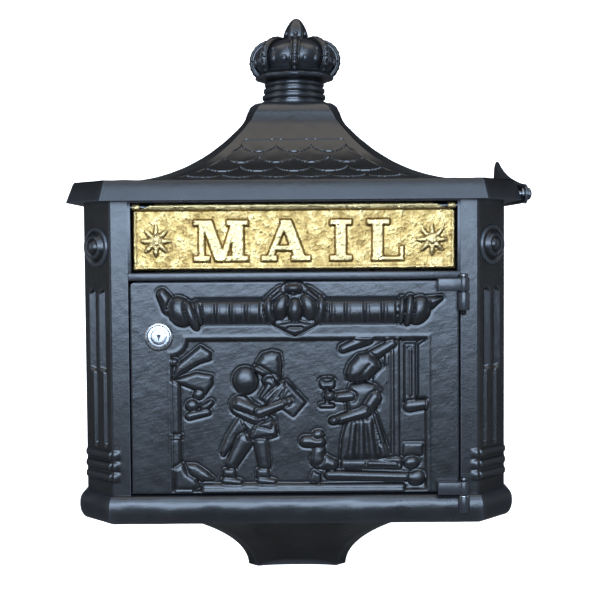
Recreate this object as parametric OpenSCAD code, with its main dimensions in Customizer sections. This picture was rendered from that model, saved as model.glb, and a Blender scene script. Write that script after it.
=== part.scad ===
// Wall mounted mailbox, a bolted assembly of castings: a body with cut corners, a bell shaped
// roof with a crown, a lockable door, a brass letter flap and a signal flag.
// The back lies on the wall at y = 0, the front looks along -Y, +Z is up, and the origin is the
// centre of the four wall holes. All sizes are in millimetres.

/* [Body] */
// Width over the side panels
body_w = 328; // [310:1:400]
// Depth from the wall to the front of the body
body_d = 165; // [150:1:200]
// Height of the body between the base and the eave
body_h = 225; // [215:1:275]
// Leg of the 45 degree front corners
corner_cut = 24; // [20:1:26]
// Thickness of the cast walls
wall_t = 5; // [4:0.5:5.5]
// Length of the frame flanges that the side panels are screwed to
flange_l = 16; // [14:1:20]

/* [Front openings] */
// Height of the letter slot
slot_h = 53; // [44:1:60]
// Height of the sill between the letter slot and the door
sill_h = 6; // [5:1:10]
// Width of the upright stile on either side of the door
stile_w = 13.5; // [12:0.5:18]
// Gap around the door
door_gap = 1; // [0.8:0.1:1.5]
// Thickness of the letter flap
flap_t = 3.5; // [3:0.5:4]

/* [Roof] */
// How far the eave stands out from the body
eave_out = 13; // [11:1:16]
// Height of the eave band
eave_h = 16; // [14:1:20]
// How far the eave band leans in towards its top
eave_lean = 6; // [4:1:7]
// Height of the sloping roof above the eave band
roof_rise = 51; // [45:1:65]
// Half width of the roof where the slopes end
ridge_half_w = 43; // [40:1:50]
// Depth of the roof where the slopes end, from the wall
ridge_d = 84; // [82:1:90]
// How strongly the slopes sag, 1 is straight
roof_sag = 2.85; // [2:0.05:3]
// Height of the tapered block under the crown
block_h = 20; // [20:1:30]

/* [Crown] */
// Distance from the wall to the middle of the crown
crown_d = 42; // [41:1:46]
// Radius of the neck under the crown
neck_r = 26.8; // [24:0.1:28]
// Height of the neck
neck_h = 22; // [18:1:26]
// Largest radius of the crown
crown_r = 39.5; // [36:0.5:40.5]
// Height of the crown to the top of its arches
crown_h = 34; // [28:1:40]
// Height of the bud above the arches
bud_h = 19; // [12:1:22]

/* [Base and corbel] */
// Height of the base moulding
base_h = 22; // [20:1:28]
// How far the base moulding stands out
base_out = 6; // [5:0.5:8]
// Height of the corbel below the base
corbel_h = 69; // [55:1:85]
// Half width of the corbel at its top
corbel_top_half = 125; // [110:1:130]
// Half width of the corbel at its foot
corbel_foot_half = 43; // [36:1:50]
// Depth of the corbel at its foot
corbel_foot_d = 42; // [38:1:50]

/* [Hinge and lock] */
// Radius of the door hinge knuckles
knuckle_r = 4.4; // [4.2:0.1:4.6]
// Radius of the hinge pins
pin_r = 2; // [1.8:0.1:2.4]
// Height of each door lug
lug_h = 10.5; // [9:0.5:13]
// Radius of the lock's bezel
bezel_r = 11; // [10.5:0.5:13]
// Radius of the lock's threaded barrel
barrel_r = 9.5; // [9:0.1:9.8]
// Reach of the lock cam from its axis
cam_reach = 31; // [29:1:34]

/* [Signal flag] */
// Length of the flag from its pivot to its far end
flag_l = 135; // [110:1:138]
// Width of the flag at its far end
flag_w = 44; // [30:1:48]
// Thickness of the flag
flag_t = 2.5; // [2:0.1:3]

/* [Wall holes] */
// Distance between the wall holes across the back
hole_dx = 200; // [160:1:230]
// Distance between the wall holes up the back
hole_dz = 150; // [120:1:160]
// Radius of the wall holes
hole_r = 3.25; // [2.75:0.25:4]

/* [Fits] */
// Radial clearance of a pin or screw in its hole
pin_fit = 0.05; // [0.03:0.01:0.08]
// Radius of the assembly screws
screw_r = 2; // [1.7:0.1:2.2]

/* [Hidden] */
$fn = 48;

half_w = body_w / 2;
body_z0 = -body_h / 2;
body_z1 = body_h / 2;
wall_top_z = body_z1 + 5;
corner_y = -(body_d - corner_cut);
front_half = half_w - corner_cut;
half_corner = tan(22.5);
slack = 0.2;
cut = 1;

// Door, slot and hinge places
open_half = front_half - stile_w;
slot_top_z = body_z1 - 1;
slot_z = slot_top_z - slot_h;
open_top_z = slot_z - sill_h;
door_half = open_half - door_gap;
door_z0 = body_z0 + 1.2;
door_z1 = open_top_z - door_gap;
door_t = wall_t;
hinge_x = open_half + 1.5;
hinge_y = -body_d - knuckle_r - 0.6;
upper_lug_z = door_z1 - lug_h + 2;
lower_lug_z = body_z0 + 0.4;
barrel_h = 14;
pin_head_h = 3;
pin_head_r = 3.2;

// Lock places
lock_x = -door_half + 22;
lock_z = door_z0 + 121;
plug_r = 6;
nut_t = 4;
cam_t = 2;
cam_y = -body_d + door_t + nut_t + slack;

// Letter flap places
rod_r = 1.6;
flap_barrel_r = 2.8;
flap_y = -body_d + wall_t - flap_t;
rod_y = flap_y + 1.2;
rod_z = slot_top_z - flap_barrel_r - 0.4;
strap_t = 1.5;
strap_screw_r = 1.4;
slot_half = open_half - 2.5;
flap_half = slot_half - 1;
flap_z0 = slot_z + 1.4;

// Roof and crown places
eave_top_z = body_z1 + eave_h;
slope_top_z = eave_top_z + roof_rise;
block_top_z = slope_top_z + block_h;
block_half = neck_r + 5;
neck_top_z = block_top_z + neck_h;
roof_t = 4;

// Base and corbel places
base_z0 = body_z0 - base_h;
corbel_z0 = base_z0 - corbel_h;
corbel_top_d = body_d - 25;

// Screw places
tab_t = 4;
tab_l = 16;
tab_x = half_w - wall_t - 9;
tab_ys = [-(body_d - corner_cut - flange_l - 12), -28];
boss_r = 5;
head_r = 3.8;
head_h = 2.6;
back_boss_l = 16;
side_screw_zs = [body_z0 + 28, 0, body_z1 - 20];
corbel_bosses = [[-70, -22], [70, -22], [0, -74]];

// Signal flag places
flag_x = half_w + eave_out + 2;
flag_y = corner_y - eave_out * half_corner + 6;
flag_z = body_z1 + 5;
flag_bolt_r = 2.5;
flag_head_r = 3.6;
flag_seat_x = half_w + 3;

// The plan outline of the body grown by a distance, left back corner first
function plan(grow) = let (shift = grow * half_corner)
    [[-half_w - grow, 0], [-half_w - grow, corner_y - shift],
     [-front_half - shift, -body_d - grow], [front_half + shift, -body_d - grow],
     [half_w + grow, corner_y - shift], [half_w + grow, 0]];

// A plan outline of its own half width, depth and corner cut, at one height
function ring(half, depth, corner, z) =
    [[-half, 0, z], [-half, -(depth - corner), z], [-half + corner, -depth, z],
     [half - corner, -depth, z], [half, -(depth - corner), z], [half, 0, z]];

// Outline of the sloping roof at a share of its rise, moved in by a wall thickness
function slope_ring(share, inset) =
    let (run = (1 - share),
         half = ridge_half_w + (half_w + eave_out - eave_lean - ridge_half_w) * run,
         depth = ridge_d + (body_d + eave_out - eave_lean - ridge_d) * run)
    ring(half - inset, depth - inset, 4 + (corner_cut + 2) * run,
         eave_top_z + roof_rise * pow(share, roof_sag) - (inset > 0 ? roof_t : 0));

// Outline of the corbel at a share of its height, moved in by a wall thickness
function corbel_ring(share, inset, drop) =
    let (swell = pow(share, 1.9))
    ring(corbel_foot_half + (corbel_top_half - corbel_foot_half) * swell - inset,
         corbel_foot_d + (corbel_top_d - corbel_foot_d) * swell - inset,
         6 + 18 * swell, corbel_z0 + corbel_h * share + drop);

// A closed solid through outlines that have the same number of points, lowest first
module loft(rings) {
    count = len(rings[0]);
    last = len(rings) - 1;
    points = [for (outline = rings) each outline];
    sides = [for (level = [0:last - 1], i = [0:count - 1])
        let (j = (i + 1) % count, low = level * count, high = low + count)
        each [[low + i, high + j, low + j], [low + i, high + i, high + j]]];
    bottom = [for (i = [0:count - 1]) i];
    top = [for (i = [count - 1:-1:0]) last * count + i];
    polyhedron(points = points, faces = concat([bottom], sides, [top]), convexity = 6);
}

// Stands a shape drawn up the Z axis on a point, along +X or +Y
module along_x(place) translate(place) rotate([0, 90, 0]) children();
module along_y(place) translate(place) rotate([-90, 0, 0]) children();

// Extrudes an outline drawn in X and Z from its front face y towards the wall
module upright(y, thickness)
    translate([0, y + thickness, 0]) rotate([90, 0, 0]) linear_extrude(thickness) children();

// A straight bar with round ends a little fuller than its shank, drawn flat
module slot_shape(from, to, radius) {
    angle = atan2(to[1] - from[1], to[0] - from[0]);
    translate(from) circle(radius);
    translate(to) circle(radius);
    shank = radius * 0.95;
    translate(from) rotate(angle) translate([0, -shank]) square([norm(to - from), 2 * shank]);
}

// A pan head screw, head downwards, with its head seat at z = 0
module screw(length) {
    cylinder(r = screw_r, h = length);
    translate([0, 0, -head_h]) cylinder(r = head_r, h = head_h);
}

// ---- Body ----

// Front casting: two corner walls, two stiles, the sill and the flanges for the side panels
module front_frame() color("#1c1e21") {
    inner_front = front_half - wall_t * half_corner;
    flange_y = corner_y + flange_l;
    bend_y = corner_y - wall_t * (1 - half_corner);
    half_section = [[0, -body_d], [front_half, -body_d], [half_w, corner_y],
        [half_w - wall_t, corner_y], [half_w - wall_t, flange_y], [half_w - 2 * wall_t, flange_y],
        [half_w - 2 * wall_t, bend_y], [inner_front, wall_t - body_d], [0, wall_t - body_d]];
    difference() {
        union() {
            translate([0, 0, body_z0]) linear_extrude(wall_top_z - body_z0) {
                polygon(half_section);
                mirror([1, 0]) polygon(half_section);
            }
            frame_barrel();
            lock_strike_pad();
            for (side = [-1, 1]) corner_trim(side);
        }
        translate([-slot_half, -body_d - cut, slot_z])
            cube([2 * slot_half, wall_t + 2 * cut, slot_h]);
        translate([-open_half, -body_d - cut, body_z0 - cut])
            cube([2 * open_half, wall_t + 2 * cut, open_top_z - body_z0 + cut]);
        for (side = [-1, 1]) corner_flutes(side);
        for (side = [0, 1]) mirror([side, 0, 0]) rod_seat();
        for (side = [-1, 1], z = side_screw_zs)
            along_x([side * (half_w - 1.5 * wall_t) - wall_t, corner_y + flange_l / 2, z])
                cylinder(r = screw_r + pin_fit, h = 2 * wall_t);
        translate([hinge_x, hinge_y, 0]) cylinder(r = pin_r + pin_fit, h = body_h / 2);
    }
}

// Fixed knuckle under the upper door lug, with its web to the stile
module frame_barrel() {
    barrel_z = upper_lug_z - slack - barrel_h;
    translate([hinge_x, hinge_y, barrel_z]) cylinder(r = knuckle_r, h = barrel_h);
    translate([hinge_x, hinge_y, barrel_z]) cube([knuckle_r, -hinge_y - body_d + cut, barrel_h]);
}

// Pad behind the left stile that the lock cam turns behind
module lock_strike_pad()
    translate([-open_half - 10, -body_d + wall_t - cut, lock_z - 12])
        cube([10, nut_t + cut - 0.6, 24]);

// Seat for one end of the flap rod, open to the back, and the hole of its strap screw
module rod_seat() {
    seat_r = rod_r + pin_fit;
    along_x([slot_half - cut, rod_y, rod_z]) cylinder(r = seat_r, h = 10 + cut);
    translate([slot_half - cut, rod_y, rod_z - seat_r]) cube([10 + cut, wall_t, 2 * seat_r]);
    along_y([slot_half + 6, -body_d + 1, rod_z - 9])
        cylinder(r = strap_screw_r + pin_fit, h = wall_t);
}

// Places a shape drawn outwards along +X on the middle of one cut corner
module on_corner(side)
    translate([side * (half_w - corner_cut / 2), -(body_d - corner_cut / 2), 0])
        rotate(side > 0 ? -45 : -135) children();

// Turned boss near the top of a corner and the moulded rings at its foot
module corner_trim(side)
    on_corner(side) {
        translate([-cut, 0, body_z1 - 35]) rotate([0, 90, 0]) rotate_extrude()
            polygon([[0, 0], [15, 0], [15, 2.2], [12.5, 3], [11.5, 2], [8, 2], [7, 4.5], [3.5, 6],
                [0, 6]]);
        for (level = [0:2])
            translate([-cut, -corner_cut * 0.66, body_z0 + 12 + 7 * level])
                cube([cut + 1.8, corner_cut * 1.32, 4]);
    }

// Two upright grooves in one corner
module corner_flutes(side)
    on_corner(side)
        for (shift = [-6.5, 6.5]) translate([3.6, shift, 0]) {
            translate([0, 0, body_z0 + 38]) cylinder(r = 5.5, h = body_h - 38 - 67);
            translate([0, 0, body_z1 - 67]) sphere(5.5);
        }

// Side wall with a roof tab, base bosses and back bosses, drawn on the right
module side_panel()
    difference() {
        union() {
            translate([half_w - wall_t, corner_y, body_z0])
                cube([wall_t, -corner_y - wall_t, wall_top_z - body_z0]);
            for (y = tab_ys) {
                translate([tab_x - boss_r, y - tab_l / 2, wall_top_z - tab_t])
                    cube([half_w - tab_x, tab_l, tab_t]);
                translate([tab_x, y, body_z0]) boss_with_web(14);
            }
            for (z = [-hole_dz / 2, hole_dz / 2])
                along_y([tab_x, -wall_t - back_boss_l, z]) boss_with_web(back_boss_l);
        }
        for (y = tab_ys) {
            translate([tab_x, y, wall_top_z - tab_t - cut])
                cylinder(r = screw_r + pin_fit, h = tab_t + 2 * cut);
            translate([tab_x, y, body_z0 - cut]) cylinder(r = screw_r + pin_fit, h = 12);
        }
        for (z = [-hole_dz / 2, hole_dz / 2])
            along_y([tab_x, -wall_t - back_boss_l + 3, z])
                cylinder(r = screw_r + pin_fit, h = back_boss_l);
        for (z = side_screw_zs)
            along_x([half_w - wall_t - cut, corner_y + flange_l / 2, z])
                cylinder(r = screw_r + pin_fit, h = 3 + cut);
    }

// Screw boss with a web that reaches the side wall
module boss_with_web(length) {
    cylinder(r = boss_r, h = length);
    translate([0, -3, 0]) cube([half_w - wall_t / 2 - tab_x, 6, length]);
}

module right_side_panel() color("#1c1e21") side_panel();
module left_side_panel() color("#1c1e21") mirror([1, 0, 0]) side_panel();

// Back plate with the four wall holes and countersunk screw holes
module back_panel() color("#1c1e21")
    difference() {
        upright(-wall_t, wall_t)
            translate([-half_w, body_z0]) square([body_w, wall_top_z - body_z0]);
        for (x = [-hole_dx / 2, hole_dx / 2], z = [-hole_dz / 2, hole_dz / 2])
            along_y([x, -wall_t - cut, z]) cylinder(r = hole_r, h = wall_t + 2 * cut);
        for (x = [-tab_x, tab_x], z = [-hole_dz / 2, hole_dz / 2]) {
            along_y([x, -wall_t - cut, z]) cylinder(r = screw_r + pin_fit, h = wall_t + 2 * cut);
            along_y([x, -head_h, z])
                cylinder(r1 = screw_r + pin_fit, r2 = head_r + pin_fit, h = head_h);
        }
    }

// ---- Base and corbel ----

function plan_ring(grow, z) = [for (p = plan(grow)) [p[0], p[1], z]];

// A hollow in a casting that keeps a back wall against the wall of the house
module hollow()
    difference() {
        children();
        translate([-body_w, -roof_t, -body_h * 2]) cube([2 * body_w, 2 * roof_t, body_h * 4]);
    }

// Floor of the box with its moulded skirt and the boss of the lower hinge pin
module base_casting() color("#1c1e21")
    difference() {
        union() {
            loft([plan_ring(0.5, base_z0), plan_ring(base_out - 2.5, base_z0 + 3),
                plan_ring(base_out, base_z0 + 7), plan_ring(base_out, body_z0 - 6),
                plan_ring(base_out - 1.5, body_z0 - 2), plan_ring(2.5, body_z0)]);
            translate([hinge_x, hinge_y, body_z0 - 14])
                cylinder(r = knuckle_r + 0.3, h = 14);
        }
        hollow() translate([0, 0, base_z0 - cut])
            linear_extrude(base_h - wall_t + cut) polygon(plan(-wall_t));
        translate([-corbel_top_half - slack, -2 * roof_t, base_z0 - cut])
            cube([2 * (corbel_top_half + slack), 2 * roof_t + cut, base_h - wall_t + cut]);
        translate([hinge_x, hinge_y, body_z0 - 12]) cylinder(r = pin_r + pin_fit, h = 14);
        for (x = [-tab_x, tab_x], y = tab_ys)
            translate([x, y, body_z0 - wall_t - cut])
                cylinder(r = screw_r + pin_fit, h = wall_t + 2 * cut);
        for (place = corbel_bosses)
            translate([place[0], place[1], body_z0 - wall_t - cut])
                cylinder(r = screw_r + pin_fit, h = wall_t + 2 * cut);
    }

// Hollow tapered bracket under the base, screwed to the floor of the box
module corbel() color("#1c1e21") {
    levels = 8;
    head_z = body_z0 - wall_t;
    difference() {
        loft(concat([for (level = [0:levels]) corbel_ring(level / levels, 0, 0)],
            [corbel_ring(1, 0, base_h - wall_t)]));
        hollow() loft(concat([corbel_ring(0, roof_t, -cut)],
            [for (level = [0:levels]) corbel_ring(level / levels, roof_t, 0)],
            [corbel_ring(1, roof_t, base_h - wall_t - roof_t)]));
        along_y([0, -body_d, corbel_z0 + 5 - 92]) cylinder(r = 92, h = body_d + cut);
        for (place = corbel_bosses)
            translate([place[0], place[1], head_z - roof_t - cut])
                cylinder(r = screw_r + pin_fit, h = roof_t + 2 * cut);
    }
    for (place = corbel_bosses)
        translate([place[0], place[1], head_z - 14]) difference() {
            cylinder(r = boss_r, h = 12);
            translate([0, 0, 2]) cylinder(r = screw_r + pin_fit, h = 12);
        }
}

// ---- Roof and crown ----

// Bell shaped roof casting: eave band with its soffit, sagging slopes and the block on top
module roof() color("#1c1e21") {
    levels = 10;
    block_ring = ring(block_half, crown_d + block_half, 10, block_top_z);
    difference() {
        union() {
            loft(concat([plan_ring(eave_out, body_z1)],
                [for (level = [0:levels]) slope_ring(level / levels, 0)], [block_ring]));
        }
        difference() {
            roof_cavity();
            for (x = [-tab_x, tab_x], y = tab_ys)
                translate([x, y, wall_top_z]) cylinder(r = boss_r, h = eave_h);
            along_x([flag_seat_x, flag_y, flag_z]) cylinder(r = 6, h = eave_out);
        }
        for (x = [-tab_x, tab_x], y = tab_ys)
            translate([x, y, wall_top_z - cut]) cylinder(r = screw_r + pin_fit, h = cut + 8);
        translate([0, -crown_d, block_top_z - 10]) cylinder(r = 3 + pin_fit, h = 12);
        along_x([half_w, flag_y, flag_z]) cylinder(r = flag_bolt_r + pin_fit, h = 2 * eave_out);
        along_x([half_w, flag_y, flag_z]) cylinder(r = flag_head_r + slack, h = flag_seat_x - half_w);
    }
}

// Everything that is hollow under the roof skin
module roof_cavity() {
    levels = 9;
    inset = 6;
    translate([0, 0, body_z1 - cut]) linear_extrude(wall_top_z - body_z1 + cut + slack)
        polygon([for (p = plan(slack)) [p[0], p[1] == 0 ? cut : p[1]]]);
    hollow() {
        loft(concat([plan_ring(eave_out - inset, body_z1 + roof_t)],
            [for (level = [0:levels]) slope_ring(level / 10, inset)]));
        translate([0, -crown_d, body_z1 + roof_t])
            cylinder(r = 16, h = block_top_z - 8 - body_z1 - roof_t);
    }
}

// Crown casting: ringed neck, a bowl with eight arches, and the bud in its middle
module crown_finial() color("#1c1e21") {
    arch_r = crown_h / 2;
    translate([0, -crown_d, block_top_z]) difference() {
        union() {
            rotate_extrude() polygon([[0, 0], [neck_r, 0], [neck_r, 2], [neck_r - 1.5, 3],
                [neck_r - 0.5, 5], [neck_r - 0.5, 8], [neck_r - 2, 9], [neck_r - 1, 11],
                [neck_r - 1, 14], [neck_r - 2.5, 15], [neck_r - 2, 18], [neck_r, neck_h],
                [neck_r + 5, neck_h + 1], [neck_r + 4, neck_h + 5],
                [crown_r - 5, neck_h + arch_r], [crown_r - 12, neck_h + crown_h - 5],
                [9, neck_h + crown_h - 2], [8, neck_h + crown_h + bud_h * 0.3],
                [4, neck_h + crown_h + bud_h * 0.7], [2, neck_h + crown_h + bud_h],
                [0, neck_h + crown_h + bud_h]]);
            for (turn = [0:45:315]) rotate(turn)
                along_y([crown_r - arch_r, -3.5, neck_h + arch_r]) cylinder(r = arch_r, h = 7);
        }
        translate([0, 0, -cut]) cylinder(r = 3 + pin_fit, h = 16);
    }
}

module finial_bolt() color("#9a9da0")
    translate([0, -crown_d, block_top_z - 8 - 1.6]) {
        cylinder(r = 3, h = 8 + 1.6 + 13);
        translate([0, 0, -4]) cylinder(r = 5.8, h = 4, $fn = 6);
    }

module finial_washer() color("#9a9da0")
    translate([0, -crown_d, block_top_z - 8 - 1.6]) difference() {
        cylinder(r = 8, h = 1.6);
        translate([0, 0, -cut]) cylinder(r = 3 + pin_fit, h = 4);
    }

// ---- Assembly screws ----

module roof_screws() color("#9a9da0")
    for (x = [-tab_x, tab_x], y = tab_ys)
        translate([x, y, wall_top_z - tab_t]) screw(tab_t + 6);

module base_screws() color("#9a9da0")
    for (x = [-tab_x, tab_x], y = tab_ys)
        translate([x, y, body_z0 - wall_t]) screw(wall_t + 9);

module corbel_screws() color("#9a9da0")
    for (place = corbel_bosses)
        translate([place[0], place[1], body_z0]) mirror([0, 0, 1]) screw(wall_t + 8);

module side_screws() color("#9a9da0")
    for (side = [0, 1], z = side_screw_zs) mirror([side, 0, 0])
        along_x([half_w - 2 * wall_t, corner_y + flange_l / 2, z]) screw(wall_t + 2.5);

// Countersunk screws through the back plate into the side panels
module back_screws() color("#9a9da0")
    for (x = [-tab_x, tab_x], z = [-hole_dz / 2, hole_dz / 2]) {
        along_y([x, -head_h, z]) cylinder(r1 = screw_r, r2 = head_r, h = head_h);
        along_y([x, -14, z]) cylinder(r = screw_r, h = 14 - head_h);
    }

// ---- Door and its hinge ----

// Raised round shape on the door, from the floor of the panel to a height above it
module raised(x, z, radius, height)
    along_y([x, -body_d - height, z]) cylinder(r = radius, h = height + 3);

// Raised bar with round ends on the door
module raised_bar(from, to, radius, height)
    upright(-body_d - height, height + 3) slot_shape(from, to, radius);

// Lug on the outside of the door that wraps the hinge pin
module door_lug(z) {
    translate([hinge_x, hinge_y, z]) cylinder(r = knuckle_r, h = lug_h);
    translate([hinge_x - 20, hinge_y - knuckle_r + 1, z])
        cube([20, 2 * knuckle_r - 1, lug_h]);
    translate([hinge_x - 20, hinge_y, z])
        cube([door_half - hinge_x + 20 - slack, -hinge_y - body_d + cut, lug_h - 2]);
}

// Door casting with a sunk panel, the turned baton, the lock hole and two hinge lugs
module door() color("#1c1e21") {
    panel_x0 = -door_half + 30;
    panel_x1 = door_half - 25;
    panel_z1 = door_z0 + 121;
    difference() {
        union() {
            upright(-body_d, door_t) door_outline();
            baton((panel_x0 + panel_x1) / 2, panel_z1 + 20);
            for (z = [lower_lug_z, upper_lug_z]) door_lug(z);
        }
        upright(-body_d - cut, cut + 2) sunk_outline(panel_x0, panel_x1, panel_z1);
        along_y([lock_x, -body_d - cut, lock_z])
            cylinder(r = barrel_r + pin_fit, h = door_t + 2 * cut);
        translate([hinge_x, hinge_y, body_z0]) cylinder(r = pin_r + pin_fit, h = body_h);
    }
    street_scene(panel_x0, door_z0 + 6);
}

module door_outline() {
    corner = 4;
    for (x = [corner - door_half, door_half - corner]) translate([x, door_z1 - corner]) circle(corner);
    translate([-door_half, door_z0]) square([2 * door_half, door_z1 - door_z0 - corner]);
    translate([corner - door_half, door_z0]) square([2 * (door_half - corner), door_z1 - door_z0]);
}

// Outline of the sunk panel, with notched upper corners
module sunk_outline(x0, x1, z1)
    difference() {
        translate([x0, door_z0 + 3]) square([x1 - x0, z1 - door_z0 - 3]);
        for (x = [x0, x1]) translate([x, z1]) circle(11);
    }

// Turned baton with beads, bell ends and a middle boss, lying across the door
module baton(x, z) {
    reach = 82;
    intersection() {
        union() {
            along_x([x - reach, -body_d, z]) cylinder(r = 6, h = 2 * reach);
            for (side = [-1, 1], bead = [0:4])
                along_x([x + side * (30 + 9 * bead) - 3, -body_d, z]) cylinder(r = 8, h = 6);
        }
        translate([-door_half, -body_d - 10, z - 10]) cube([2 * door_half, 12, 20]);
    }
    for (side = [-1, 1])
        raised_bar([x + side * (reach - 4), z], [x + side * (reach + 16), z + 8], 4, 4);
    raised(x, z, 20, 6);
    raised(x, z, 12, 8);
}

// Plain raised figures at a doorway: two standing on the left, one with a cup on the right
module street_scene(x0, z0) {
    raised_bar([x0 + 8, z0], [x0 + 150, z0], 3, 1);
    raised(x0 + 56, z0 + 83, 9, 4);
    raised_bar([x0 + 52, z0 + 66], [x0 + 54, z0 + 44], 13, 3);
    raised_bar([x0 + 47, z0 + 40], [x0 + 42, z0 + 8], 5, 2);
    raised_bar([x0 + 60, z0 + 40], [x0 + 64, z0 + 8], 5, 2);
    raised(x0 + 76, z0 + 92, 8, 3);
    raised_bar([x0 + 80, z0 + 76], [x0 + 96, z0 + 72], 7, 3);
    raised(x0 + 148, z0 + 98, 10, 4);
    raised_bar([x0 + 148, z0 + 80], [x0 + 148, z0 + 58], 12, 3);
    raised_bar([x0 + 146, z0 + 50], [x0 + 150, z0 + 18], 19, 2);
    raised_bar([x0 + 138, z0 + 72], [x0 + 118, z0 + 80], 4, 4);
    raised(x0 + 118, z0 + 28, 7, 2);
    raised_bar([x0 + 116, z0 + 18], [x0 + 124, z0 + 12], 8, 2);
    for (x = [x0 + 178, x0 + 188]) raised_bar([x, z0 + 24], [x, z0 + 104], 3, 2);
    raised_bar([x0 + 10, z0 + 12], [x0 + 10, z0 + 82], 3, 1);
}

// Headed pin of the upper hinge, through the door lug and the frame's knuckle
module upper_hinge_pin() color("#b9bcbf") {
    top_z = upper_lug_z + lug_h;
    translate([hinge_x, hinge_y, top_z + slack]) cylinder(r = pin_head_r, h = pin_head_h);
    translate([hinge_x, hinge_y, upper_lug_z - barrel_h - 4])
        cylinder(r = pin_r, h = lug_h + barrel_h + 4 + slack);
}

// Headed pin of the lower hinge, through the door lug into the base
module lower_hinge_pin() color("#b9bcbf") {
    top_z = lower_lug_z + lug_h;
    translate([hinge_x, hinge_y, top_z + slack]) cylinder(r = pin_head_r, h = pin_head_h);
    translate([hinge_x, hinge_y, body_z0 - 11.5])
        cylinder(r = pin_r, h = top_z + slack - body_z0 + 11.5);
}

// ---- Lock ----

module lock_barrel() color("#c9cbcc")
    along_y([lock_x, -body_d, lock_z]) difference() {
        union() {
            translate([0, 0, -2]) cylinder(r1 = bezel_r - 1.2, r2 = bezel_r, h = 1.2);
            translate([0, 0, -0.8]) cylinder(r = bezel_r, h = 0.8);
            cylinder(r = barrel_r, h = door_t + nut_t);
        }
        translate([0, 0, -cut - 2]) cylinder(r = plug_r + pin_fit, h = door_t + nut_t + 4);
    }

module lock_nut() color("#9a9da0")
    along_y([lock_x, door_t - body_d, lock_z]) difference() {
        cylinder(r = barrel_r + 4.5, h = nut_t - slack, $fn = 6);
        translate([0, 0, -cut]) cylinder(r = barrel_r + pin_fit, h = nut_t + 2 * cut);
    }

// Turning plug of the lock, with its key slot
module lock_plug() color("#c9cbcc")
    along_y([lock_x, -body_d - 1.6, lock_z]) difference() {
        cylinder(r = plug_r, h = cam_y + body_d + 1.6);
        translate([-0.9, -4, -cut]) cube([1.8, 8, 9]);
        translate([0, 0, cam_y + body_d - 6]) cylinder(r = 1.5 + pin_fit, h = 10);
    }

// Flat cam on the end of the plug, hanging down when the lock is open
module lock_cam() color("#9a9da0")
    difference() {
        upright(cam_y, cam_t) slot_shape([lock_x, lock_z], [lock_x, lock_z - cam_reach + 6], 6);
        along_y([lock_x, cam_y - cut, lock_z]) cylinder(r = 1.5 + pin_fit, h = cam_t + 2 * cut);
    }

module cam_screw() color("#9a9da0") {
    along_y([lock_x, cam_y - 5, lock_z]) cylinder(r = 1.5, h = 5 + cam_t);
    along_y([lock_x, cam_y + cam_t, lock_z]) cylinder(r = 3.2, h = 2);
}

// ---- Letter flap ----

// Brass flap with a rolled upper edge, swinging inwards on its rod
module mail_flap() color("#c79a45")
    difference() {
        union() {
            upright(flap_y, flap_t) translate([-flap_half, flap_z0])
                square([2 * flap_half, rod_z - flap_z0]);
            along_x([-flap_half, rod_y, rod_z]) cylinder(r = flap_barrel_r, h = 2 * flap_half);
            for (x = [-78, 78])
                along_y([x, flap_y - 1.5, (flap_z0 + rod_z) / 2]) cylinder(r = 12, h = 2);
            translate([-56, flap_y - 1.5, flap_z0 + 8]) cube([112, 2, rod_z - flap_z0 - 18]);
        }
        along_x([-body_w / 2, rod_y, rod_z]) cylinder(r = rod_r + pin_fit, h = body_w);
    }

module flap_rod() color("#b9bcbf")
    along_x([-slot_half - 9, rod_y, rod_z]) cylinder(r = rod_r, h = 2 * slot_half + 18);

// Straps behind the frame that close the two seats of the rod
module rod_straps() color("#9a9da0")
    for (side = [0, 1]) mirror([side, 0, 0]) difference() {
        upright(-body_d + wall_t, strap_t)
            translate([slot_half + 2, rod_z - 13]) square([8, 16]);
        along_y([slot_half + 6, -body_d, rod_z - 9])
            cylinder(r = strap_screw_r + pin_fit, h = 2 * wall_t);
    }

module strap_screws() color("#9a9da0")
    for (side = [0, 1]) mirror([side, 0, 0]) {
        along_y([slot_half + 6, -body_d + wall_t - 3, rod_z - 9])
            cylinder(r = strap_screw_r, h = 3 + strap_t);
        along_y([slot_half + 6, -body_d + wall_t + strap_t, rod_z - 9])
            cylinder(r = 2.6, h = 1.8);
    }

// ---- Signal flag ----

// Flag plate that widens to its far end, lying back along the roof when down
module signal_flag() color("#1c1e21")
    translate([flag_x, flag_y, flag_z]) difference() {
        rotate([90, 0, 90]) linear_extrude(flag_t) {
            circle(8);
            polygon([[0, -7], [flag_l - 10, -6], [flag_l - 6, -4], [flag_l, 4],
                [flag_l, flag_w - 16], [flag_l - 6, flag_w - 8], [flag_l - 14, flag_w - 7],
                [flag_l - 70, 18], [0, 7]]);
        }
        along_x([-cut, 0, 0]) cylinder(r = flag_bolt_r + pin_fit, h = flag_t + 2 * cut);
    }

// Bolt from inside the eave, through the washer and the flag
module flag_bolt() color("#9a9da0") {
    along_x([flag_seat_x, flag_y, flag_z])
        cylinder(r = flag_bolt_r, h = flag_x + flag_t + slack + 2.4 - flag_seat_x);
    along_x([flag_seat_x - 2, flag_y, flag_z]) cylinder(r = flag_head_r, h = 2);
}

module flag_washer() color("#9a9da0")
    along_x([half_w + eave_out + 0.3, flag_y, flag_z]) difference() {
        cylinder(r = 5, h = 1.4);
        translate([0, 0, -cut]) cylinder(r = flag_bolt_r + pin_fit, h = 4);
    }

// Domed nut on the outside of the flag
module flag_nut() color("#1c1e21")
    along_x([flag_x + flag_t + slack, flag_y, flag_z]) difference() {
        cylinder(r = 5, h = 3.6);
        translate([0, 0, -cut]) cylinder(r = flag_bolt_r + pin_fit, h = 3.6);
    }

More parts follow.
